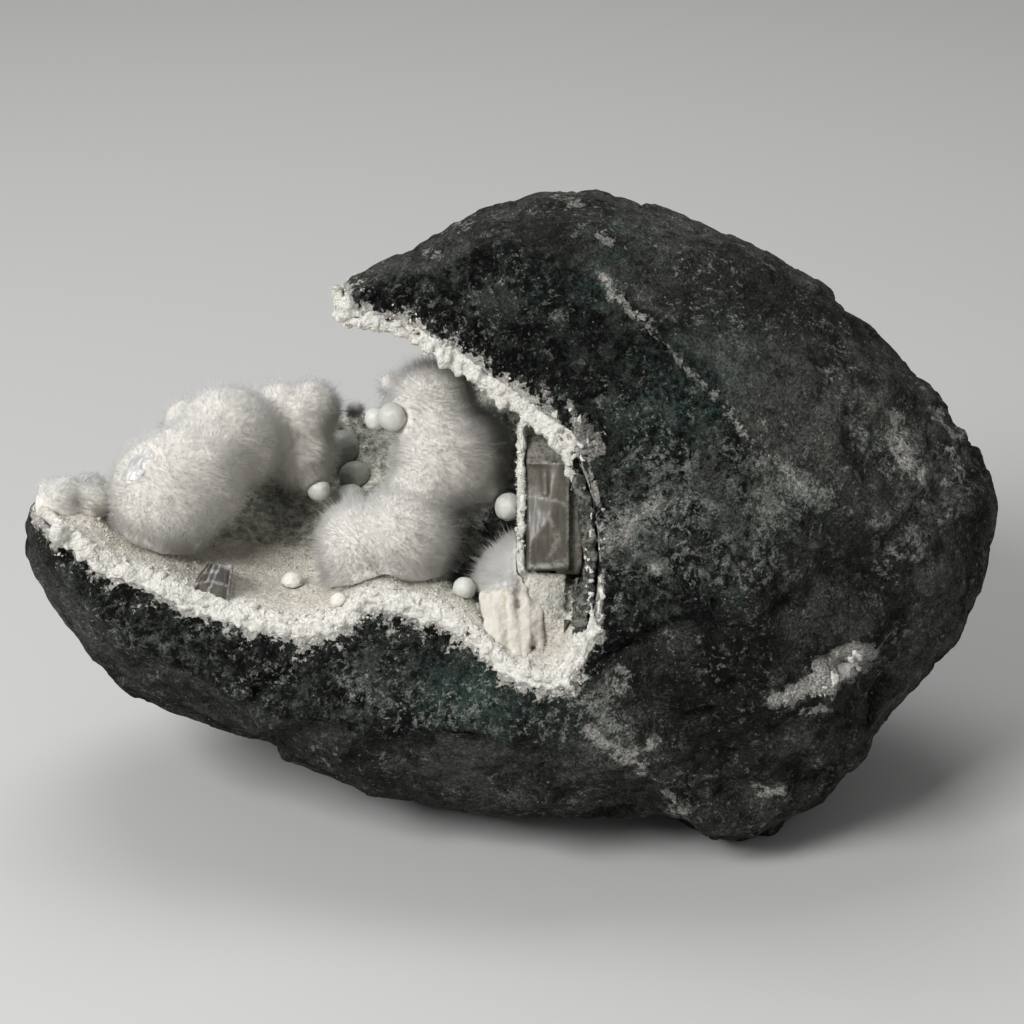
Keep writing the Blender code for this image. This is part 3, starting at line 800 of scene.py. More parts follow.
def dust_group():
    """Sparse dark specks of dust."""
    inputs = (("Place", None), ("Spacing", 2.2 * MM), ("Size", 0.06), ("Share", 0.3))
    group, given, out = new_group("Dust", inputs, ("Mask",))
    scale = calculate(group, "DIVIDE", 1.0, given["Spacing"])
    cells = add(group, "ShaderNodeTexVoronoi", {"Vector": given["Place"], "Scale": scale})
    shade = add(group, "ShaderNodeSeparateColor", {"Color": cells.outputs["Color"]})
    size = times(group, given["Size"], plus(group, shade.outputs[1], 0.5))
    spot = calculate(group, "LESS_THAN", cells.outputs["Distance"], size)
    kept = calculate(group, "LESS_THAN", shade.outputs[0], given["Share"])
    group.links.new(times(group, spot, kept), out.inputs["Mask"])
    return group


def use(tree, group_name, inputs):
    """A node group placed in a material."""
    return add(tree, "ShaderNodeGroup", inputs, node_tree=bpy.data.node_groups[group_name]).outputs


def new_material(name):
    """A material with its node tree and its Principled shader."""
    material = bpy.data.materials.new(name)
    material.use_nodes = True
    tree = material.node_tree
    return material, tree, tree.nodes["Principled BSDF"]


def ragged_cover(tree, place, cover, spacing, softness):
    """The mask of something that covers a surface with a ragged edge."""
    inputs = {"Place": place, "Cover": cover, "Spacing": spacing, "Softness": softness}
    return use(tree, "Ragged cover", inputs)["Mask"]


def relief(tree, height, distance, strength):
    """A normal from a height."""
    inputs = {"Height": height, "Distance": distance, "Strength": strength}
    return add(tree, "ShaderNodeBump", inputs).outputs[0]


def dress(tree, shader, colour, roughness, normal):
    """Links a colour, a roughness and a normal to the shader."""
    fill(tree, shader, {"Base Color": colour, "Roughness": roughness, "Normal": normal})


def basalt_material(settings):
    """Dark basalt: green-black breaks with pale grains, a smoother old skin, clay, and white growths."""
    material, tree, shader = new_material("basalt")
    place = here(tree)
    aside = add(tree, "ShaderNodeMapping", {"Vector": place, "Location": (0.1, 0.2, 0.3)}).outputs[0]
    fine = use(tree, "Grain", {"Place": place, "Spacing": 0.36 * MM})
    coarse = use(tree, "Grain", {"Place": place, "Spacing": 1.3 * MM})
    fresh, pale, streak = stored(tree, "fresh"), stored(tree, "pale"), stored(tree, "streak")

    def ragged(where, cover, spacing, softness):
        return ragged_cover(tree, where, cover, spacing, softness)


    patches = ragged(place, between(tree, fresh, 0.0, 1.0, 0.72, 0.50), 7.0 * MM, 0.22)
    spots = ragged(aside, between(tree, fresh, 0.0, 1.0, 0.72, 0.50), 2.2 * MM, 0.25)
    light = plus(tree, times(tree, patches, 0.6), times(tree, spots, 0.4))
    old, new = settings.weathered_colour, settings.fresh_colour
    dark_stone = blend(tree, fresh, opaque(old, 0.28), opaque(new, 0.06))
    light_stone = blend(tree, fresh, opaque(old), opaque(new))
    stone = blend(tree, light, dark_stone, light_stone)
    clay = between(tree, cloud(tree, place, 12), 0.45, 0.75, 0.12, 0.40)
    teal_cover = plus(tree, stored(tree, "green"), clay)
    teal = ragged(place, teal_cover, 1.5 * MM, 0.5)
    stone = blend(tree, times(tree, teal, 0.6), stone, opaque(settings.green_colour))
    stone = shaded(tree, stone, between(tree, fine["Tone"], 0.2, 0.8, 0.5, 1.5))
    stone = shaded(tree, stone, between(tree, cloud(tree, aside, 20, 3), 0.38, 0.62, 0.45, 1.35))
    streaky = add(tree, "ShaderNodeMapping", {"Vector": place, "Scale": (0.25, 0.6, 1)}).outputs[0]
    streaks = between(tree, cloud(tree, streaky, 1.4, 6, 0.7), 0.35, 0.65, 0.20, 0.80)
    stone = blend(tree, streak, stone, shaded(tree, stone, streaks))
    large, small = ragged(place, pale, 2.6 * MM, 0.25), ragged(aside, pale, 1.2 * MM, 0.2)
    flecks = calculate(tree, "MAXIMUM", large, small)
    pale_tone = between(tree, fine["Tone"], 0.2, 0.8, 0.35, 1.3)
    pale_colour = shaded(tree, opaque(settings.pale_colour), pale_tone)
    crusted = between(tree, cloud(tree, place, 11, 3), 0.42, 0.60, 0.25, 1.0)
    flecks = times(tree, flecks, crusted)
    stone = blend(tree, times(tree, flecks, 0.8), stone, pale_colour)
    sparks = use(tree, "Dust", {"Place": place, "Spacing": 1.7 * MM, "Size": 0.09, "Share": 0.25})
    stone = blend(tree, times(tree, sparks["Mask"], 0.6), stone, PALE_SPARK)
    rim = ragged(place, stored(tree, "rim"), 2.2 * MM, 0.12)
    growth = ragged(place, stored(tree, "white"), 1.9 * MM, 0.2)
    growth = times(tree, growth, between(tree, stored(tree, "white"), 0.4, 1.1, 0.55, 1.0))
    growth = times(tree, growth, between(tree, fine["Tone"], 0.2, 0.7, 0.6, 1.0))
    white = calculate(tree, "MAXIMUM", rim, growth)
    white_shade = between(tree, fine["Tone"], 0.1, 0.9, 0.55, 1.1)
    colour = blend(tree, white, stone, shaded(tree, WHITE_GROWTH, white_shade))
    gloss = times(tree, plus(tree, fine["Glint"], coarse["Glint"]), -0.40)
    roughness = plus(tree, gloss, 0.86, clamp=True)
    height = plus(tree, fine["Height"], times(tree, coarse["Height"], 3.0))
    height = plus(tree, height, times(tree, light, 1.2))
    height = plus(tree, height, times(tree, white, 0.8))
    dress(tree, shader, colour, roughness, relief(tree, height, 0.6 * MM, 1.0))
    shader.inputs["Specular IOR Level"].default_value = 0.10
    return material


def druse_material(settings):
    """White sugary druse, creamy on the floor, with bare stone at its edge. Painted shade makes it grey-green
    on the back wall and dark in the recess behind the right cluster.
    """
    material, tree, shader = new_material("druse")
    place = here(tree)
    sugar = use(tree, "Grain", {"Place": place, "Spacing": 0.5 * MM})
    lumps_tone = cloud(tree, place, 1.8, 5, 0.65)
    deep = stored(tree, "deep")
    colour = blend(tree, stored(tree, "floor"), opaque(settings.colour), opaque(settings.floor_colour))
    warm = between(tree, cloud(tree, place, 5), 0.45, 0.7, 0.0, 0.45)
    colour = blend(tree, warm, colour, opaque(settings.floor_colour, 0.85))
    # Painted shade: deep in the hollow the back wall is drawn in a darker grey-green, lumpy in tone
    wall_tone = between(tree, lumps_tone, 0.35, 0.65, 0.55, 1.7)
    wall = shaded(tree, opaque(settings.back_wall_shade_colour), wall_tone)
    colour = blend(tree, deep, colour, wall)
    tone = between(tree, sugar["Tone"], 0.1, 0.9, 0.70, 1.12)
    colour = shaded(tree, colour, tone)
    # Bare stone at the crust's edge, and painted shade in the recess behind the right cluster, both kept
    # under bare
    cover = minus(tree, 1.2, stored(tree, "bare"))
    kept = ragged_cover(tree, place, cover, 2.0 * MM, 0.15)
    stone = blend(tree, between(tree, lumps_tone, 0.45, 0.62), BARE_STONE_AND_SHADE_DARK, BARE_STONE_AND_SHADE_PALE)
    colour = blend(tree, kept, stone, colour)
    shine = plus(tree, sugar["Glint"], times(tree, stored(tree, "point"), 0.55))
    roughness = minus(tree, 0.62, times(tree, shine, 0.45), clamp=True)
    height = plus(tree, sugar["Height"], times(tree, lumps_tone, 1.4))
    dress(tree, shader, colour, roughness, relief(tree, height, 0.45 * MM, 0.9))
    return material


def okenite_material(settings):
    """White okenite: bright fibres on a core painted a little darker as shade, a little dust, an olive coat
    painted darker in its grooves as shade, and satin where they lie flat, painted brighter as sheen.
    """
    material, tree, shader = new_material("okenite")
    place = here(tree)
    fibre = stored(tree, "fibre")
    # Painted shade: the core and the feet of the fibres take the darker core colour, the tips the fibre
    # colour
    colour = blend(tree, fibre, opaque(settings.shaded_core_colour), opaque(settings.colour))
    mottle = between(tree, cloud(tree, place, 9, 3), 0.35, 0.7, 1.02, 0.90)
    colour = shaded(tree, colour, mottle)
    matted = cloud(tree, place, 0.3, 4, 0.7)
    colour = shaded(tree, colour, between(tree, matted, 0.3, 0.7, 0.93, 1.04))
    # The olive tint of the coated lobe, with painted shade that makes it stronger in the grooves between the
    # folds
    grooves = times(tree, stored(tree, "sugar"), between(tree, matted, 0.3, 0.7, 0.6, 0.9))
    colour = blend(tree, grooves, colour, OLIVE_COAT_AND_GROOVE_SHADE)
    dust = use(tree, "Dust", {"Place": place, "Spacing": 2.6 * MM, "Size": 0.05, "Share": 0.22})
    free = minus(tree, 0.8, times(tree, stored(tree, "sugar"), 4.0), clamp=True)
    colour = blend(tree, times(tree, dust["Mask"], free), colour, DUST_SPECK)
    # Painted sheen: the satin patch is drawn brighter white where the fibres lie flat
    colour = blend(tree, times(tree, stored(tree, "satin"), 1.0), colour, SATIN_PAINTED_SHEEN)
    roughness = between(tree, stored(tree, "satin"), 0.0, 1.0, 0.85, 0.6)
    grit = times(tree, cloud(tree, place, 0.7, 5, 0.7), between(tree, stored(tree, "sugar"), 0.0, 0.3))
    dress(tree, shader, colour, roughness, relief(tree, grit, 0.6 * MM, 0.8))
    shader.inputs["Sheen Weight"].default_value = 0.05
    shader.inputs["Sheen Roughness"].default_value = 0.5
    shader.inputs["Subsurface Weight"].default_value = 0.7
    shader.inputs["Subsurface Radius"].default_value = (1.0, 0.97, 0.92)
    shader.inputs["Subsurface Scale"].default_value = 1.4 * MM
    return material


def gyrolite_material(settings):
    """Pearly gyrolite, painted darker as shade deep in the hollow, and sugared over where druse coats it."""
    material, tree, shader = new_material("gyrolite")
    place = here(tree)
    clouded = between(tree, cloud(tree, place, 1.6), 0.35, 0.7)
    colour = blend(tree, clouded, opaque(settings.colour), opaque(settings.colour, 0.82))
    # Painted shade on beads deep in the hollow or behind other parts
    colour = blend(tree, stored(tree, "dim"), colour, opaque(settings.pearl_shade_colour))
    colour = blend(tree, stored(tree, "sugar"), colour, BEAD_SUGAR)
    pits = use(tree, "Grain", {"Place": place, "Spacing": 0.3 * MM})
    roughness = between(tree, pits["Tone"], 0.1, 0.9, 0.32, 0.55)
    dress(tree, shader, colour, roughness, relief(tree, pits["Height"], 0.10 * MM, 0.6))
    shader.inputs["Subsurface Weight"].default_value = 0.35
    shader.inputs["Subsurface Radius"].default_value = (1.0, 1.0, 0.95)
    shader.inputs["Subsurface Scale"].default_value = 1.2 * MM
    return material


def calcite_material(settings):
    """Clear smoky calcite with upright cleavage lines, frosted in places, dark and flawed in the wedge."""
    material, tree, shader = new_material("calcite")
    place = here(tree)
    smoke, frost = stored(tree, "smoke"), stored(tree, "frost")
    upright = add(tree, "ShaderNodeMapping", {"Vector": place, "Scale": (1, 0.25, 0.10)}).outputs[0]
    lines = cloud(tree, upright, 0.5, 5, 0.65)
    veils = between(tree, cloud(tree, place, 3.2, 5, 0.65), 0.42, 0.66)
    level = add(tree, "ShaderNodeMapping", {"Vector": place, "Scale": (0.3, 0.5, 1)}).outputs[0]
    flaws = between(tree, cloud(tree, level, 1.3, 5, 0.7), 0.60, 0.68)
    colour = blend(tree, smoke, opaque(settings.colour), opaque(settings.smoke_colour))
    colour = blend(tree, times(tree, veils, 0.5), colour, opaque(settings.colour, 2.2))
    colour = shaded(tree, colour, between(tree, lines, 0.3, 0.7, 0.78, 1.12))
    colour = blend(tree, times(tree, flaws, smoke), colour, PALE_FLAW)
    broken = cloud(tree, place, 0.8, 4, 0.7)
    frost = times(tree, frost, between(tree, broken, 0.35, 0.6, 0.1, 1.0))
    edge_tone = between(tree, broken, 0.3, 0.7, 0.6, 1.0)
    colour = blend(tree, frost, colour, shaded(tree, CALCITE_FROST, edge_tone))
    roughness = between(tree, lines, 0.3, 0.7, 0.38, 0.6)
    dress(tree, shader, colour, roughness, relief(tree, lines, 0.08 * MM, 0.5))
    shader.inputs["Transmission Weight"].default_value = 0.55
    shader.inputs["IOR"].default_value = 1.6
    return material


# Pieces

def sight(across, up, away):
    """The place that the eye sees there, from millimetres across, up and away."""
    spread = 1 + away * MM / EYE_DISTANCE
    return AIM + (Vector((across, 0, 0)) * spread + UP_VIEW * up * spread - TO_EYE * away) * MM


def seen_at(pixels, tree):
    """Where the eye sees these pixels on the surfaces of a tree, and how they face there."""
    places, ways = [], []
    for across, up in in_view(pixels).tolist():
        line = (Vector((across, 0, 0)) + UP_VIEW * up) * MM - TO_EYE * EYE_DISTANCE
        place, facing = tree.ray_cast(EYE, line.normalized())[:2]
        if place is not None:
            places.append(place[:])
            ways.append(facing[:])
    return np.array(places), np.array(ways)


def along_path(pixels, half_width, count, rng):
    """Random pixels along a path."""
    corners = np.array(pixels, float)
    steps = np.linalg.norm(np.diff(corners, axis=0), axis=1)
    chosen = rng.choice(len(steps), count, p=steps / steps.sum())
    share = rng.random(count)[:, None]
    middle = corners[chosen] * (1 - share) + corners[chosen + 1] * share
    return middle + half_width * rng.normal(size=(count, 2)) * 0.6


def behind_break(view):
    """How far behind the broken front each seen place lies, in millimetres."""
    return view[:, 2] - front_break(view[:, 0], view[:, 1])


def past_break(points):
    """How far past the broken face at the upper left back each point lies, in millimetres."""
    across, away, up = BACK_BREAK_FACING
    outward = Vector((across, 0, 0)) - TO_EYE * away + UP_VIEW * up
    return (points - np.array(AIM)) @ np.array(outward) / MM - BACK_BREAK_DISTANCE


def fresh_of(points, view):
    """How freshly the stone is broken at each point."""
    front = 1 - fade(np.abs(behind_break(view)), 0.8 * BREAK_SPREAD, 1.5 * BREAK_SPREAD)
    back = 1 - fade(np.abs(past_break(points)), 0.8 * BREAK_SPREAD, 1.5 * BREAK_SPREAD)
    return np.maximum(front, back)


def cover_of(view, paths):
    """How thickly growths along paths of pixels cover each point."""
    cover = np.zeros(len(view))
    for pixels, half_width, strength in paths:
        nearest = path_offset(view[:, :2], pixels)[0]
        cover = np.maximum(cover, strength * (1 - fade(nearest, 0.25 * half_width, 1.7 * half_width)))
    return cover


def bareness(view):
    """How much stone shows through the crust's edge, right of the calcite."""
    right = fade(view[:, 0], BARE_RIM_ACROSS[0], BARE_RIM_ACROSS[1])
    return right * fade(view[:, 1], -27, -22) * (1 - fade(view[:, 1], 10, 15))


def grow_basalt(settings):
    """The basalt: chipped facets, coarse grain, ledges and cracks, with the masks for its material."""
    mesh = skin("basalt_matrix", settings.cell * COARSER)
    points, facing = points_of(mesh), normals_of(mesh)
    view = seen_from_eye(points)
    shown = fade(toward_eye(facing), -0.15, 0.2)
    rim = distances(points, tree_of(["druse_crust"]), 14 * MM)
    fresh = fresh_of(points, view)
    free = fade(rim, 0.5 * MM, 2.6 * MM) * fade(points[:, 2], 0.1 * MM, 1.5 * MM)

    bent = points + 0.9 * MM * np.stack([lumps(points + shift * MM, 4, 2) for shift in (0, 40, 80)], 1)
    lower_right = fade(-view[:, 1], 16, 32) * fade(view[:, 0], 5, 25)
    chipped = np.maximum(fade(view[:, 0], 50, 72), lower_right) * shown
    rough = 0.35 + 0.65 * np.maximum(fresh, 0.45 * chipped)
    height = 1.5 * settings.facet_height * rough * facets(bent, 13)
    height += 0.6 * settings.facet_height * rough * facets(bent, 4.5)
    height += settings.grain_height * lumps(points, 2.2, 5) * rough
    height += 0.9 * MM * lumps(points, 15, 3)
    streaks = cover_of(view, STREAKED_PATHS) * shown
    height += 0.35 * MM * streaks * lumps(points * (0.3, 1, 1), 1.8, 4)
    pits = fade(grains(points, 3.4), 0.72, 0.95) * fade(lumps(points, 9, 3), -0.1, 0.5)
    height -= 0.6 * MM * pits
    for pixels, drop, reach in LEDGES:
        nearest, below = path_offset(view[:, :2] + 0.7 * lumps(points, 5, 3)[:, None], pixels)
        height -= 1.4 * drop * MM * fade(below, -0.2, 1.0) * (1 - fade(nearest, 0.3 * reach, reach)) * shown
    for pixels, depth, half_width in CRACKS:
        nearest = path_offset(view[:, :2] + 0.4 * lumps(points, 3, 3)[:, None], pixels)[0]
        height -= depth * MM * np.exp(-((nearest / half_width) ** 2)) * shown

    reach = rim / MM * (1 + 0.6 * lumps(points, 6, 3)) + 0.6 * lumps(points, 2, 3)
    near_rim = np.maximum(1.1 * (1 - fade(reach, 0.3, 3.6)), 0.42 * (1 - fade(reach, 2.5, 7.5)))
    near_rim *= 1 - 0.55 * bareness(view)
    height += 0.25 * MM * fade(near_rim, 0.45, 0.9)
    height = np.where(height > 0, MOST_RISE * np.tanh(height / MOST_RISE), height)
    place_points(mesh, points + facing * (height * free)[:, None])
    smooth_points(mesh, 1)
    seam = (1 - fade(rim, 0.2 * MM, 1.0 * MM)) * (1 - fade(np.abs(behind_break(view)), 0.8, 1.8))
    store(mesh, "rim", near_rim)
    store(mesh, "seam", seam * shown * (1 - bareness(view)))
    store(mesh, "streak", streaks)
    store(mesh, "white", 1.15 * cover_of(view, WHITE_PATHS) * shown)
    store(mesh, "fresh", fresh)
    store(mesh, "green", cover_of(view, GREEN_PATHS) * shown)
    store(mesh, "pale", np.maximum(0.30, 1.15 * cover_of(view, PALE_PATHS) * shown))
    piece = joined("basalt", [mesh], [True])
    finish_piece(piece, basalt_material(settings), "basalt", "basalt_matrix")


def druse_masks(mesh, view, upward):
    """Keeps where a druse mesh lies on the floor, on the back wall or in the recess, both painted in shade,
    or bare at the edge.
    """
    behind = behind_break(view)
    below = path_offset(view[:, :2], BACK_WALL_FOOT)[1]
    store(mesh, "floor", fade(behind, 1.5, 5) * fade(upward, 0.1, 0.5))
    # Painted shade deep in the hollow, above the foot of the back wall
    store(mesh, "deep", fade(behind, 4, 8) * (1 - fade(below, -0.8, 0.8)))
    # Painted shade in the recess behind the right cluster, kept with the bare stone so that it is drawn dark
    recess_shade = cover_of(view, RECESS_SHADE_PATHS) * fade(behind, 6, 12)
    store(mesh, "bare", np.maximum(bareness(view), recess_shade))


def grow_druse(settings):
    """The druse: a lumpy sugary crust with crystal points, and knobs and grains at its ragged edge."""
    rng = np.random.default_rng(DRUSE_SEED)
    mesh = skin("druse_crust", settings.cell * COARSER)
    points, facing = points_of(mesh), normals_of(mesh)
    view = seen_from_eye(points)
    thick = distances(points, tree_of(["basalt_matrix"]), 5 * MM)
    inner = fade(thick, 0.8 * MM, 1.9 * MM)
    behind = behind_break(view)
    at_back = (1 - fade(np.abs(past_break(points)), 0.8, 1.9)) * fade(behind, 14, 22)
    edge = np.maximum(1 - fade(np.abs(behind), 0.8, 1.9), 0.6 * at_back)
    height = settings.lump_height * inner * (lumps(points, 2.6, 4) + grains(points, 1.5) - 0.5)
    height += 2.2 * settings.lump_height * edge * (lumps(points, 2.2, 4) + 0.1)
    height += 0.7 * MM * bareness(view) * lumps(points, 1.8, 4)
    place_points(mesh, points + facing * height[:, None])
    druse_masks(mesh, view, facing[:, 2])
    store(mesh, "point", np.zeros(len(points)))

    exposed = fade(thick, 1.4 * MM, 2.1 * MM)
    count = settings.crystals // FEWER
    shown = fade(toward_eye(facing), -0.2, 0.3)
    places, ways = sown(mesh, 0.01 + exposed * (0.25 + shown), count, rng)
    point, faces = spike(4)
    ways = unit(ways + 0.6 * rng.normal(size=ways.shape))
    across, along = frames_of(ways, rng)
    size = settings.crystal_size * rng.lognormal(0, 0.4, count)
    sizes = (size * 0.8, size * 0.8, size)
    crystals = copies("crystals", point, faces, places, (across, along, ways), sizes)
    druse_masks(crystals, seen_from_eye(points_of(crystals)), np.repeat(ways[:, 2], len(point)))
    store(crystals, "point", np.ones(count * len(point)))
    piece = joined("druse", [mesh, crystals], [True, False])
    material = druse_material(settings)
    finish_piece(piece, material, "druse", "druse_crust")
    strip = cover_of(view, STRIP_PATHS)
    thin = 1 - fade(thick, 0.5 * MM, 1.6 * MM)
    edge *= (0.25 + 0.75 * thin) * (1 - 0.93 * bareness(view)) * (1 - strip)
    edge *= 0.2 + 0.8 * fade(lumps(points, 6, 3), -0.3, 0.4)
    grow_ragged_edge(settings, rng, edge, material)


def kept_values(mesh, name):
    """The values kept on a mesh's points."""
    values = np.empty(len(mesh.vertices), np.float32)
    mesh.attributes[name].data.foreach_get("value", values)
    return values


def grow_ragged_edge(settings, rng, edge, material):
    """A coral-like band of knobs over the crust's edge, and grains that run out over the basalt."""
    crust, stone = bpy.data.objects["druse"].data, bpy.data.objects["basalt"].data
    edge = np.concatenate([edge, np.zeros(len(crust.vertices) - len(edge))])
    rows = [sown(crust, edge + 1e-9, settings.knobs // FEWER, rng)]
    rows.append(sown(stone, kept_values(stone, "seam") + 1e-9, settings.knobs // FEWER, rng))
    sizes = [np.full(settings.knobs // FEWER, 1.0), np.full(settings.knobs // FEWER, 0.8)]

    cover = kept_values(stone, "rim")
    shown = fade(toward_eye(normals_of(stone)), -0.1, 0.3)
    weights = fade(cover, 0.25, 0.7) * (0.1 + shown)
    places, ways = sown(stone, weights, 6 * settings.rim_grains // FEWER, rng)
    bm = bmesh.new()
    bm.from_mesh(stone)
    bmesh.ops.triangulate(bm, faces=bm.faces)
    near_cover = cover[np.array([[vert.index for vert in face.verts] for face in bm.faces])].mean(1)
    tree = BVHTree.FromBMesh(bm)
    here_cover = near_cover[[tree.find_nearest(place)[2] for place in places.tolist()]]
    bm.from_mesh(crust)
    bm.from_mesh(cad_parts["calcite_wedge"].data)
    surfaces = BVHTree.FromBMesh(bm)
    bm.free()
    ragged = 0.5 + 0.8 * lumps(places, 2.4, 5) - 1.05 + here_cover
    kept = np.flatnonzero(ragged > 0)[: settings.rim_grains // FEWER]
    places, ways, ragged = places[kept], ways[kept], ragged[kept]
    thick = ragged > np.quantile(ragged, 0.72)
    rows.append((places[thick], ways[thick]))
    sizes.append(np.full(thick.sum(), 0.7))
    for pixels, half_width, count, size in KNOB_PATHS:
        rows.append(seen_at(along_path(pixels, half_width, count // COARSER, rng), surfaces))
        sizes.append(np.full(len(rows[-1][0]), size))

    ball, faces = shape_of(bmesh.ops.create_icosphere, subdivisions=2, radius=0.5)
    knob_places, knob_ways = (np.concatenate([row[part] for row in rows]) for part in (0, 1))
    offset = seen_from_eye(knob_places)[:, :2] - in_view([FREE_MIDDLE])[0]
    free = np.linalg.norm(offset, axis=1) > FREE_RADIUS * PIXEL
    knob_places, knob_ways = knob_places[free], knob_ways[free]
    across, along = frames_of(unit(knob_ways + 0.3 * rng.normal(size=knob_ways.shape)), rng)
    size = settings.knob_size * np.concatenate(sizes)[free] * rng.lognormal(-0.25, 0.45, len(knob_ways))
    size = np.stack([size * rng.uniform(0.6, 1.5, len(size)) for _ in range(3)])
    knobs = copies("knobs", ball, faces, knob_places, (across, along, np.cross(across, along)), size)
    knobs = even_cells(knobs, settings.knob_cell * COARSER)
    points = points_of(knobs)
    place_points(knobs, points + normals_of(knobs) * (0.22 * MM * lumps(points, 1.1, 4))[:, None])

    grain, faces = shape_of(bmesh.ops.create_uvsphere, u_segments=4, v_segments=2, radius=0.5)
    across, along = frames_of(unit(ways + 0.5 * rng.normal(size=ways.shape)), rng)
    third = np.cross(across, along)
    size = settings.crystal_size * rng.uniform(0.5, 1.4, len(places))
    sizes = (size, size * 1.2, size * 0.8)
    grains_mesh = copies("grains", grain, faces, places, (across, along, third), sizes)
    for mesh in (knobs, grains_mesh):
        for name in ("floor", "deep", "bare"):
            store(mesh, name, np.zeros(len(mesh.vertices)))
        store(mesh, "point", np.full(len(mesh.vertices), 0.3))
    finish_piece(joined("druse_rim", [knobs, grains_mesh], [True, False]), material, "druse")


def satin_of(points):
    """Where the fibres lie flat in a satin patch."""
    offset = seen_from_eye(points)[:, :2] - in_view([SATIN_MIDDLE])[0]
    along = offset @ (math.cos(SATIN_SLOPE), math.sin(SATIN_SLOPE)) / (SATIN_RADII[0] * PIXEL)
    beside = offset @ (-math.sin(SATIN_SLOPE), math.cos(SATIN_SLOPE)) / (SATIN_RADII[1] * PIXEL)
    return 1 - fade(along**2 + beside**2, 0.5, 1.2)


def sugar_of(points, node):
    """Where the front ball's lower lobe is coated with ridged druse instead of fibres."""
    if node != "okenite_ball_front":
        return np.zeros(len(points))
    view = seen_from_eye(points)
    return 1 - fade(view[:, 1] + 0.8 * lumps(points, 3, 3), -16.0, -13.0)


def ball_field(points, node):
    """The way out of the nearest ball at each point, and how close the point lies to a crease."""
    middles = np.array([sight(*ball[:3]) for ball in OKENITE_BALLS[node]])
    radii = np.array([ball[3] * MM for ball in OKENITE_BALLS[node]])
    offset = points[:, None, :] - middles[None]
    gap = np.linalg.norm(offset, axis=2) - radii
    share = np.exp((gap.min(1)[:, None] - gap) / (1.5 * MM))
    outward = unit((unit(offset.reshape(-1, 3)).reshape(offset.shape) * share[:, :, None]).sum(1))
    if len(radii) == 1:
        return outward, np.zeros(len(points))
    first, second = np.sort(gap, axis=1)[:, :2].T
    return outward, 1 - fade(second - first, 0, 2.2 * MM)


def add_balls(bm, node):
    """The balls that soften the creases of a cluster."""
    for across, up, away, radius in OKENITE_BALLS[node][OKENITE_FILLERS.get(node, 99):]:
        place = Matrix.Translation(sight(across, up, away))
        bmesh.ops.create_icosphere(bm, subdivisions=4, radius=radius * MM, matrix=place)


def add_folds(bm):
    """The folds of the front ball's coated lobe, each a row of balls."""
    for index, (top, foot, away_top, away_foot, radius) in enumerate(LOBE_FOLDS):
        for share in np.linspace(0, 1, 12):
            across, up = in_view([np.array(top) * (1 - share) + np.array(foot) * share])[0]
            bow = math.sin(4.5 * share + 2.1 * index)
            place = sight(across + 0.5 * bow, up, away_top * (1 - share) + away_foot * share + 0.45 * bow)
            wave = 0.15 * math.sin(math.pi * share) + 0.13 * math.sin(7 * share + 1.3 * index)
            size = radius * MM * (0.85 + wave)
            bmesh.ops.create_icosphere(bm, subdivisions=2, radius=size, matrix=Matrix.Translation(place))


def add_blade_top(bm):
    """The cloudy end of the calcite blade that leans back under the arch of the rim."""
    across, up, deep = BLADE_TOP_SIZE
    lean = Matrix((
        Vector((across, 0, 0)) * MM,
        -TO_EYE * deep * MM,
        (UP_VIEW * up - TO_EYE * BLADE_TOP_LEAN) * MM,
    )).transposed()
    bmesh.ops.create_cube(bm, size=1, matrix=Matrix.Translation(sight(*BLADE_TOP_MIDDLE)) @ lean.to_4x4())


def grow_fibres(core, node, settings, rng, near):
    """Thousands of thin needles that stand out of a core, as one mesh."""
    share, length_share, tuft = OKENITE_FUR[node]
    points = points_of(core)
    bare = sugar_of(points, node)
    weights = (0.15 + fade(distances(points, near, 4 * MM), 0.4 * MM, 1.5 * MM)) * (1.0 - bare)
    count = int(settings.fibres * share) // 1
    places, ways = sown(core, weights, count, rng)
    satin = satin_of(places) if node == "okenite_cluster_left" else np.zeros(count)
    outward, crease = ball_field(places, node)
    noise.seed_set(TUFT_SEED)
    tufts = np.array([noise.noise_vector(place) for place in (places / (1.6 * MM)).tolist()])
    ways = unit(0.65 * outward + 0.35 * ways + tuft * tufts + 0.09 * rng.normal(size=ways.shape))
    flat = np.array(Vector((1, 0, 0)) * math.cos(SATIN_SLOPE) + UP_VIEW * math.sin(SATIN_SLOPE))
    ways = unit(ways * (1 - 0.9 * satin)[:, None] + flat * satin[:, None])
    length = settings.fibre_length * length_share * rng.triangular(0.35, 0.8, 1.15, count)
    length = length * (1 - 0.25 * crease)
    long = rng.random(count) < LONG_SHARE
    length = np.where(long, length * rng.uniform(1.3, 2.2, count), length)
    for index, (place, way) in enumerate(zip(places.tolist(), ways.tolist())):
        reach = near.ray_cast(place, way, float(length[index]))[3]
        if reach is not None:
            length[index] = max(reach - 0.05 * MM, 0.2 * MM)
    needle, faces = spike(3)
    needle[:, 2] += 0.5
    across, along = frames_of(ways, rng)
    width = settings.fibre_width * rng.uniform(0.6, 1.3, count) * (1 + 0.5 * satin) * (1 + 0.3 * long)
    sunk = places - ways * 0.25 * MM
    sizes = (width, width, length + FIBRE_ROOT)
    fibres = copies("fibres", needle, faces, sunk, (across, along, ways), sizes)
    # Painted shade: a fibre's foot is darker than its tip
    store(fibres, "fibre", np.tile(np.where(needle[:, 2] > 0.5, 1.0, 0.45), count))
    store(fibres, "satin", np.repeat(satin, len(needle)))
    store(fibres, "sugar", np.zeros(count * len(needle)))
    keep_ways(fibres, np.repeat(unit(outward + 0.2 * ways), len(needle), axis=0))
    return fibres


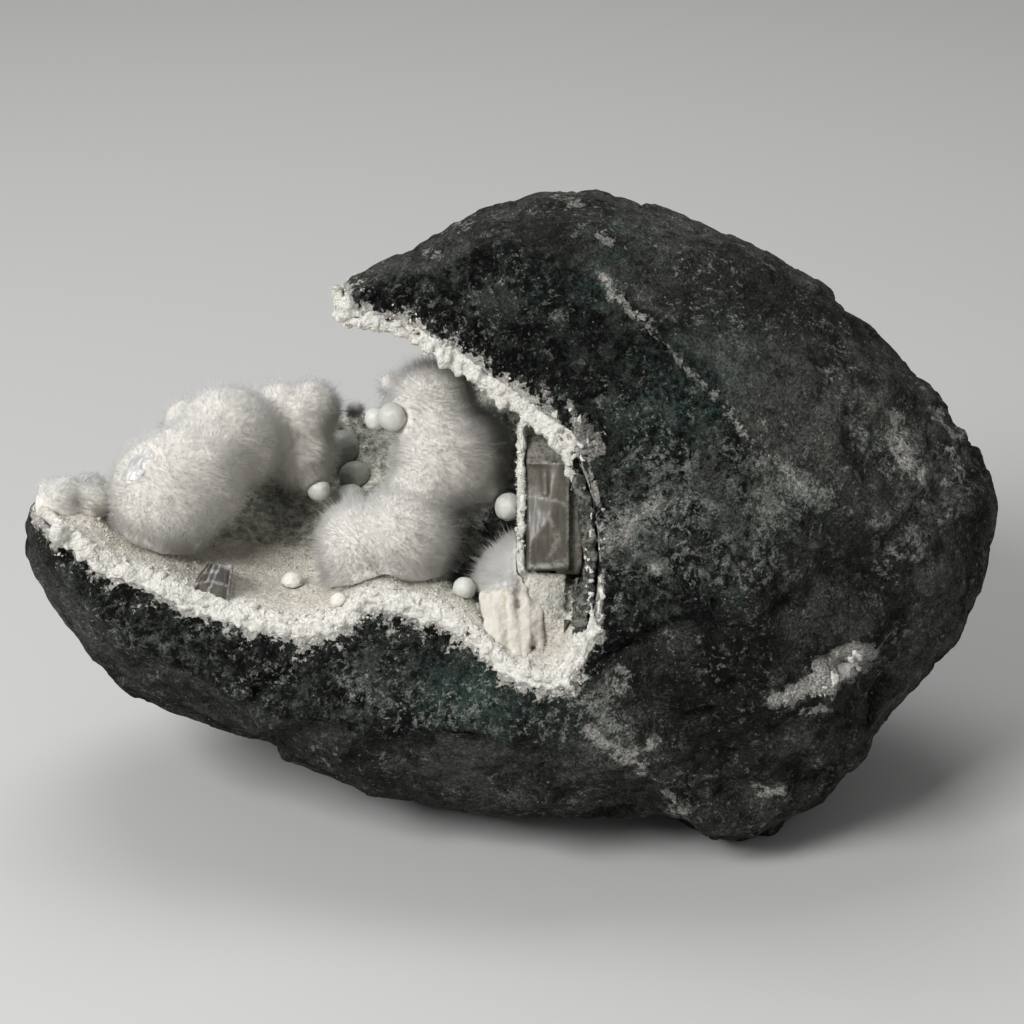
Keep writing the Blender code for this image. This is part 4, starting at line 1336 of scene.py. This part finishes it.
def keep_ways(mesh, ways):
    """Keeps, for each point, the way that its light falls as if the surface faced."""
    attribute = mesh.attributes.new("way", "FLOAT_VECTOR", "POINT")
    attribute.data.foreach_set("vector", ways.astype(np.float32).ravel())


def light_softly(mesh):
    """Lights a fur as one soft surface: along the kept ways, not along each needle's own sides."""
    ways = np.empty(len(mesh.vertices) * 3, np.float32)
    mesh.attributes["way"].data.foreach_get("vector", ways)
    mesh.attributes.remove(mesh.attributes["way"])
    mesh.normals_split_custom_set_from_vertices(ways.reshape(-1, 3).tolist())


def groove_of(points):
    """Where the grooves run between the folds of the coated lobe."""
    seen = seen_from_eye(points)[:, :2]
    nearest = np.min([path_offset(seen, fold[:2])[0] for fold in LOBE_FOLDS], 0)
    return fade(nearest, 0.7, 1.4)


def grow_okenite(node, settings, rng):
    """One okenite piece: a matted core drawn in by the length of the fibres that stand on it."""
    share, length_share, _ = OKENITE_FUR[node]
    near = tree_of([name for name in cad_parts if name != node])
    folds = node == "okenite_ball_front"
    cell = settings.core_cell * (0.55 if share < 0.5 else 1)
    core = skin(node, cell, add_folds if folds else lambda bm: add_balls(bm, node))
    smooth_points(core, 10 if node == "okenite_broken_left" else 1 if folds else 3)
    points, facing = points_of(core), normals_of(core)
    air = distances(points, near, 4 * MM)
    sugar = sugar_of(points, node)
    outward, crease = ball_field(points, node)
    inset = settings.fibre_length * length_share * 0.72 * (0.08 + 0.92 * fade(air, 0.3 * MM, 2.6 * MM))
    inset = inset * (1 - sugar) - sugar * MM * (0.4 * lumps(points, 1.5, 3) - 0.25 * groove_of(points))
    inset += crease * 0.55 * MM * (1 - sugar) - 0.15 * MM * lumps(points, 6, 2)
    satin = satin_of(points) if node == "okenite_cluster_left" else np.zeros(len(points))
    inset -= satin * MM * (0.7 + 0.25 * lumps(points, 1.5, 3))
    if node == "okenite_broken_left":
        inset -= 0.2 * MM * lumps(points, 3.5, 3) * fade(air, 0.3 * MM, 1.5 * MM)
    place_points(core, points - facing * inset[:, None])
    # Painted shade: the core keeps the darker core colour, except on the coated lobe
    store(core, "fibre", 0.8 * sugar)
    store(core, "satin", satin)
    # How thickly the lobe is coated, weighted toward the grooves, where it also carries painted shade
    store(core, "sugar", sugar * (0.35 + 0.65 * groove_of(points)))
    facing = normals_of(core)
    keep_ways(core, unit(facing + outward * (1 - sugar)[:, None]))
    meshes = [core, grow_fibres(core, node, settings, rng, near)]
    piece = joined(node.replace("okenite", "fur"), meshes, [True, True])
    light_softly(piece.data)
    return piece


def grow_gyrolite(node, settings):
    """One smooth gyrolite bead, hardly lumpy."""
    dim, sugared = GYROLITE_LOOKS.get(node, (0, 0))
    mesh = skin(node, settings.cell)
    smooth_points(mesh, 5)
    points, facing = points_of(mesh), normals_of(mesh)
    height = 0.08 * MM + (0.07 + 0.12 * sugared) * MM * lumps(points, 1.6 - 0.8 * sugared, 3)
    place_points(mesh, points + facing * height[:, None])
    # Painted shade on the bead, where it lies deep in the hollow or behind other parts
    store(mesh, "dim", np.full(len(points), dim))
    store(mesh, "sugar", np.full(len(points), sugared))
    return joined(node.replace("gyrolite", "pearly"), [mesh], [True])


def warped(points, corners):
    """Points moved across and up so that the box they fill in the view takes these corners."""
    view = seen_from_eye(points)
    low, high = view[:, :2].min(0), view[:, :2].max(0)
    across, up = ((view[:, :2] - low) / (high - low)).T[:, :, None]
    top_left, top_right, foot_right, foot_left = in_view(corners)
    view[:, :2] = (top_left * (1 - across) + top_right * across) * up
    view[:, :2] += (foot_left * (1 - across) + foot_right * across) * (1 - up)
    spread = (1 + view[:, 2] * MM / EYE_DISTANCE)[:, None]
    flat = view[:, :1] * spread * np.array((1, 0, 0)) + view[:, 1:2] * spread * np.array(UP_VIEW)
    return np.array(AIM) + (flat - view[:, 2:] * np.array(TO_EYE)) * MM


def grow_calcite(node, settings):
    """One crystal, its faces broken into low upright cleavage steps."""
    blade = node == "calcite_blade"
    mesh = skin(node, settings.cell * (1 if blade else 0.6), add_blade_top if blade else None)
    points, facing = points_of(mesh), normals_of(mesh)
    upright = points * (1, 0.3, 0.12)
    steps = np.floor(1.6 * lumps(upright, 3.2, 2)) / 1.6
    steps *= 1 - 0.75 * blade * fade(toward_eye(facing), 0.5, 0.9)
    free = fade(distances(points, tree_of(["druse_crust", "basalt_matrix"]), 3 * MM), 0.3 * MM, 0.9 * MM)
    place_points(mesh, points + facing * (settings.step_height * (steps - 0.2) * free)[:, None])
    if node == "calcite_wedge":
        place_points(mesh, warped(points_of(mesh), WEDGE_CORNERS))
    view = seen_from_eye(points_of(mesh))
    store(mesh, "smoke", np.full(len(points), 1.0 if node == "calcite_wedge" else 0.0))
    store(mesh, "frost", cover_of(view, FROST_PATHS))
    return joined(node.replace("calcite", "clear"), [mesh], [True])


# The place and the width of each light, in metres
LIGHTS = {
    "key": ((-0.56, -0.62, 0.74), 0.42),
    "fill": ((0.75, -0.85, 0.35), 0.6),
    "top": ((-0.1, 0.30, 0.90), 0.6),
}
WORLD_STRENGTH = 0.30


def area_light(name, place, size, power):
    """A soft square light that faces the specimen."""
    data = bpy.data.lights.new(name, "AREA")
    data.size = size
    data.energy = power
    light = bpy.data.objects.new(name, data)
    light.location = place
    light.rotation_euler = (AIM - Vector(place)).to_track_quat("-Z", "Y").to_euler()
    bpy.context.scene.collection.objects.link(light)


def set_stage(settings):
    """A pale floor, soft lights and the camera."""
    bm = bmesh.new()
    bmesh.ops.create_grid(bm, x_segments=1, y_segments=1, size=settings.floor_size / 2)
    mesh = bpy.data.meshes.new("floor")
    bm.to_mesh(mesh)
    bm.free()
    floor = new_object("floor", mesh)
    material, _, shader = new_material("floor")
    shader.inputs["Base Color"].default_value = opaque(settings.floor_colour)
    shader.inputs["Roughness"].default_value = 0.9
    shader.inputs["Specular IOR Level"].default_value = 0.2
    mesh.materials.append(material)
    for name, (place, size) in LIGHTS.items():
        area_light(name, place, size, getattr(settings, name + "_power"))
    world = bpy.context.scene.world or bpy.data.worlds.new("studio")
    bpy.context.scene.world = world
    world.use_nodes = True
    background = world.node_tree.nodes["Background"]
    background.inputs["Color"].default_value = (1, 1, 1, 1)
    background.inputs["Strength"].default_value = WORLD_STRENGTH
    data = bpy.data.cameras.new("camera")
    data.lens = LENS
    data.sensor_width = FILM
    camera = bpy.data.objects.new("camera", data)
    camera.location = EYE
    camera.rotation_euler = (-TO_EYE).to_track_quat("-Z", "Y").to_euler()
    bpy.context.scene.collection.objects.link(camera)
    bpy.context.scene.camera = camera
    bpy.context.scene.view_settings.view_transform = "Standard"


# Operators

class GEODE_OT_stage(bpy.types.Operator):
    """Set the floor, the lights and the camera"""

    bl_idname = "geode.stage"
    bl_label = "Stage"

    def execute(self, context):
        set_stage(context.scene.geode.stage)
        return {"FINISHED"}


class GEODE_OT_basalt(bpy.types.Operator):
    """Grow the broken basalt nodule"""

    bl_idname = "geode.basalt"
    bl_label = "Basalt"

    def execute(self, context):
        grow_basalt(context.scene.geode.basalt)
        return {"FINISHED"}


class GEODE_OT_druse(bpy.types.Operator):
    """Grow the white druse and its grains on the basalt"""

    bl_idname = "geode.druse"
    bl_label = "Druse"

    def execute(self, context):
        grow_druse(context.scene.geode.druse)
        return {"FINISHED"}


class GEODE_OT_okenite(bpy.types.Operator):
    """Grow the okenite balls with their fibres"""

    bl_idname = "geode.okenite"
    bl_label = "Okenite"

    def execute(self, context):
        settings = context.scene.geode.okenite
        material = okenite_material(settings)
        for number, node in enumerate(OKENITE_FUR):
            piece = grow_okenite(node, settings, np.random.default_rng(OKENITE_SEED + number))
            finish_piece(piece, material, "okenite", node)
        return {"FINISHED"}


class GEODE_OT_gyrolite(bpy.types.Operator):
    """Grow the gyrolite beads"""

    bl_idname = "geode.gyrolite"
    bl_label = "Gyrolite"

    def execute(self, context):
        settings = context.scene.geode.gyrolite
        material = gyrolite_material(settings)
        for node in sorted(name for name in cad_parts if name.startswith("gyrolite")):
            finish_piece(grow_gyrolite(node, settings), material, "gyrolite", node)
        return {"FINISHED"}


class GEODE_OT_calcite(bpy.types.Operator):
    """Grow the clear calcite crystals"""

    bl_idname = "geode.calcite"
    bl_label = "Calcite"

    def execute(self, context):
        settings = context.scene.geode.calcite
        material = calcite_material(settings)
        for node in sorted(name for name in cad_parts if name.startswith("calcite")):
            finish_piece(grow_calcite(node, settings), material, "calcite", node)
        return {"FINISHED"}


class GEODE_PT_panel(bpy.types.Panel):
    """The geode's pieces and their settings"""

    bl_idname = "GEODE_PT_panel"
    bl_label = "Okenite geode"
    bl_space_type = "VIEW_3D"
    bl_region_type = "UI"
    bl_category = "Geode"

    def draw(self, context):
        for operator in OPERATORS:
            piece = operator.bl_idname.split(".")[1]
            box = self.layout.box()
            box.operator(operator.bl_idname)
            settings = getattr(context.scene.geode, piece)
            for name in settings.__annotations__:
                box.prop(settings, name)


GROUPS = (
    BasaltSettings, DruseSettings, OkeniteSettings, GyroliteSettings, CalciteSettings, StageSettings,
    GeodeSettings,
)
OPERATORS = (
    GEODE_OT_stage, GEODE_OT_basalt, GEODE_OT_druse, GEODE_OT_okenite, GEODE_OT_gyrolite, GEODE_OT_calcite,
)


def register():
    """Adds the settings and the panel to Blender."""
    for made in (*GROUPS, *OPERATORS, GEODE_PT_panel):
        bpy.utils.register_class(made)
    bpy.types.Scene.geode = PointerProperty(type=GeodeSettings)


def unregister():
    """Takes them out again."""
    del bpy.types.Scene.geode
    for made in reversed((*GROUPS, *OPERATORS, GEODE_PT_panel)):
        bpy.utils.unregister_class(made)


def main():
    """Builds the whole finished geode."""
    register()
    for make_group in (ragged_cover_group, grain_group, dust_group):
        make_group()
    bpy.ops.geode.stage()
    bpy.ops.geode.basalt()
    bpy.ops.geode.druse()
    bpy.ops.geode.okenite()
    bpy.ops.geode.gyrolite()
    bpy.ops.geode.calcite()


if __name__ == "__main__":
    main()
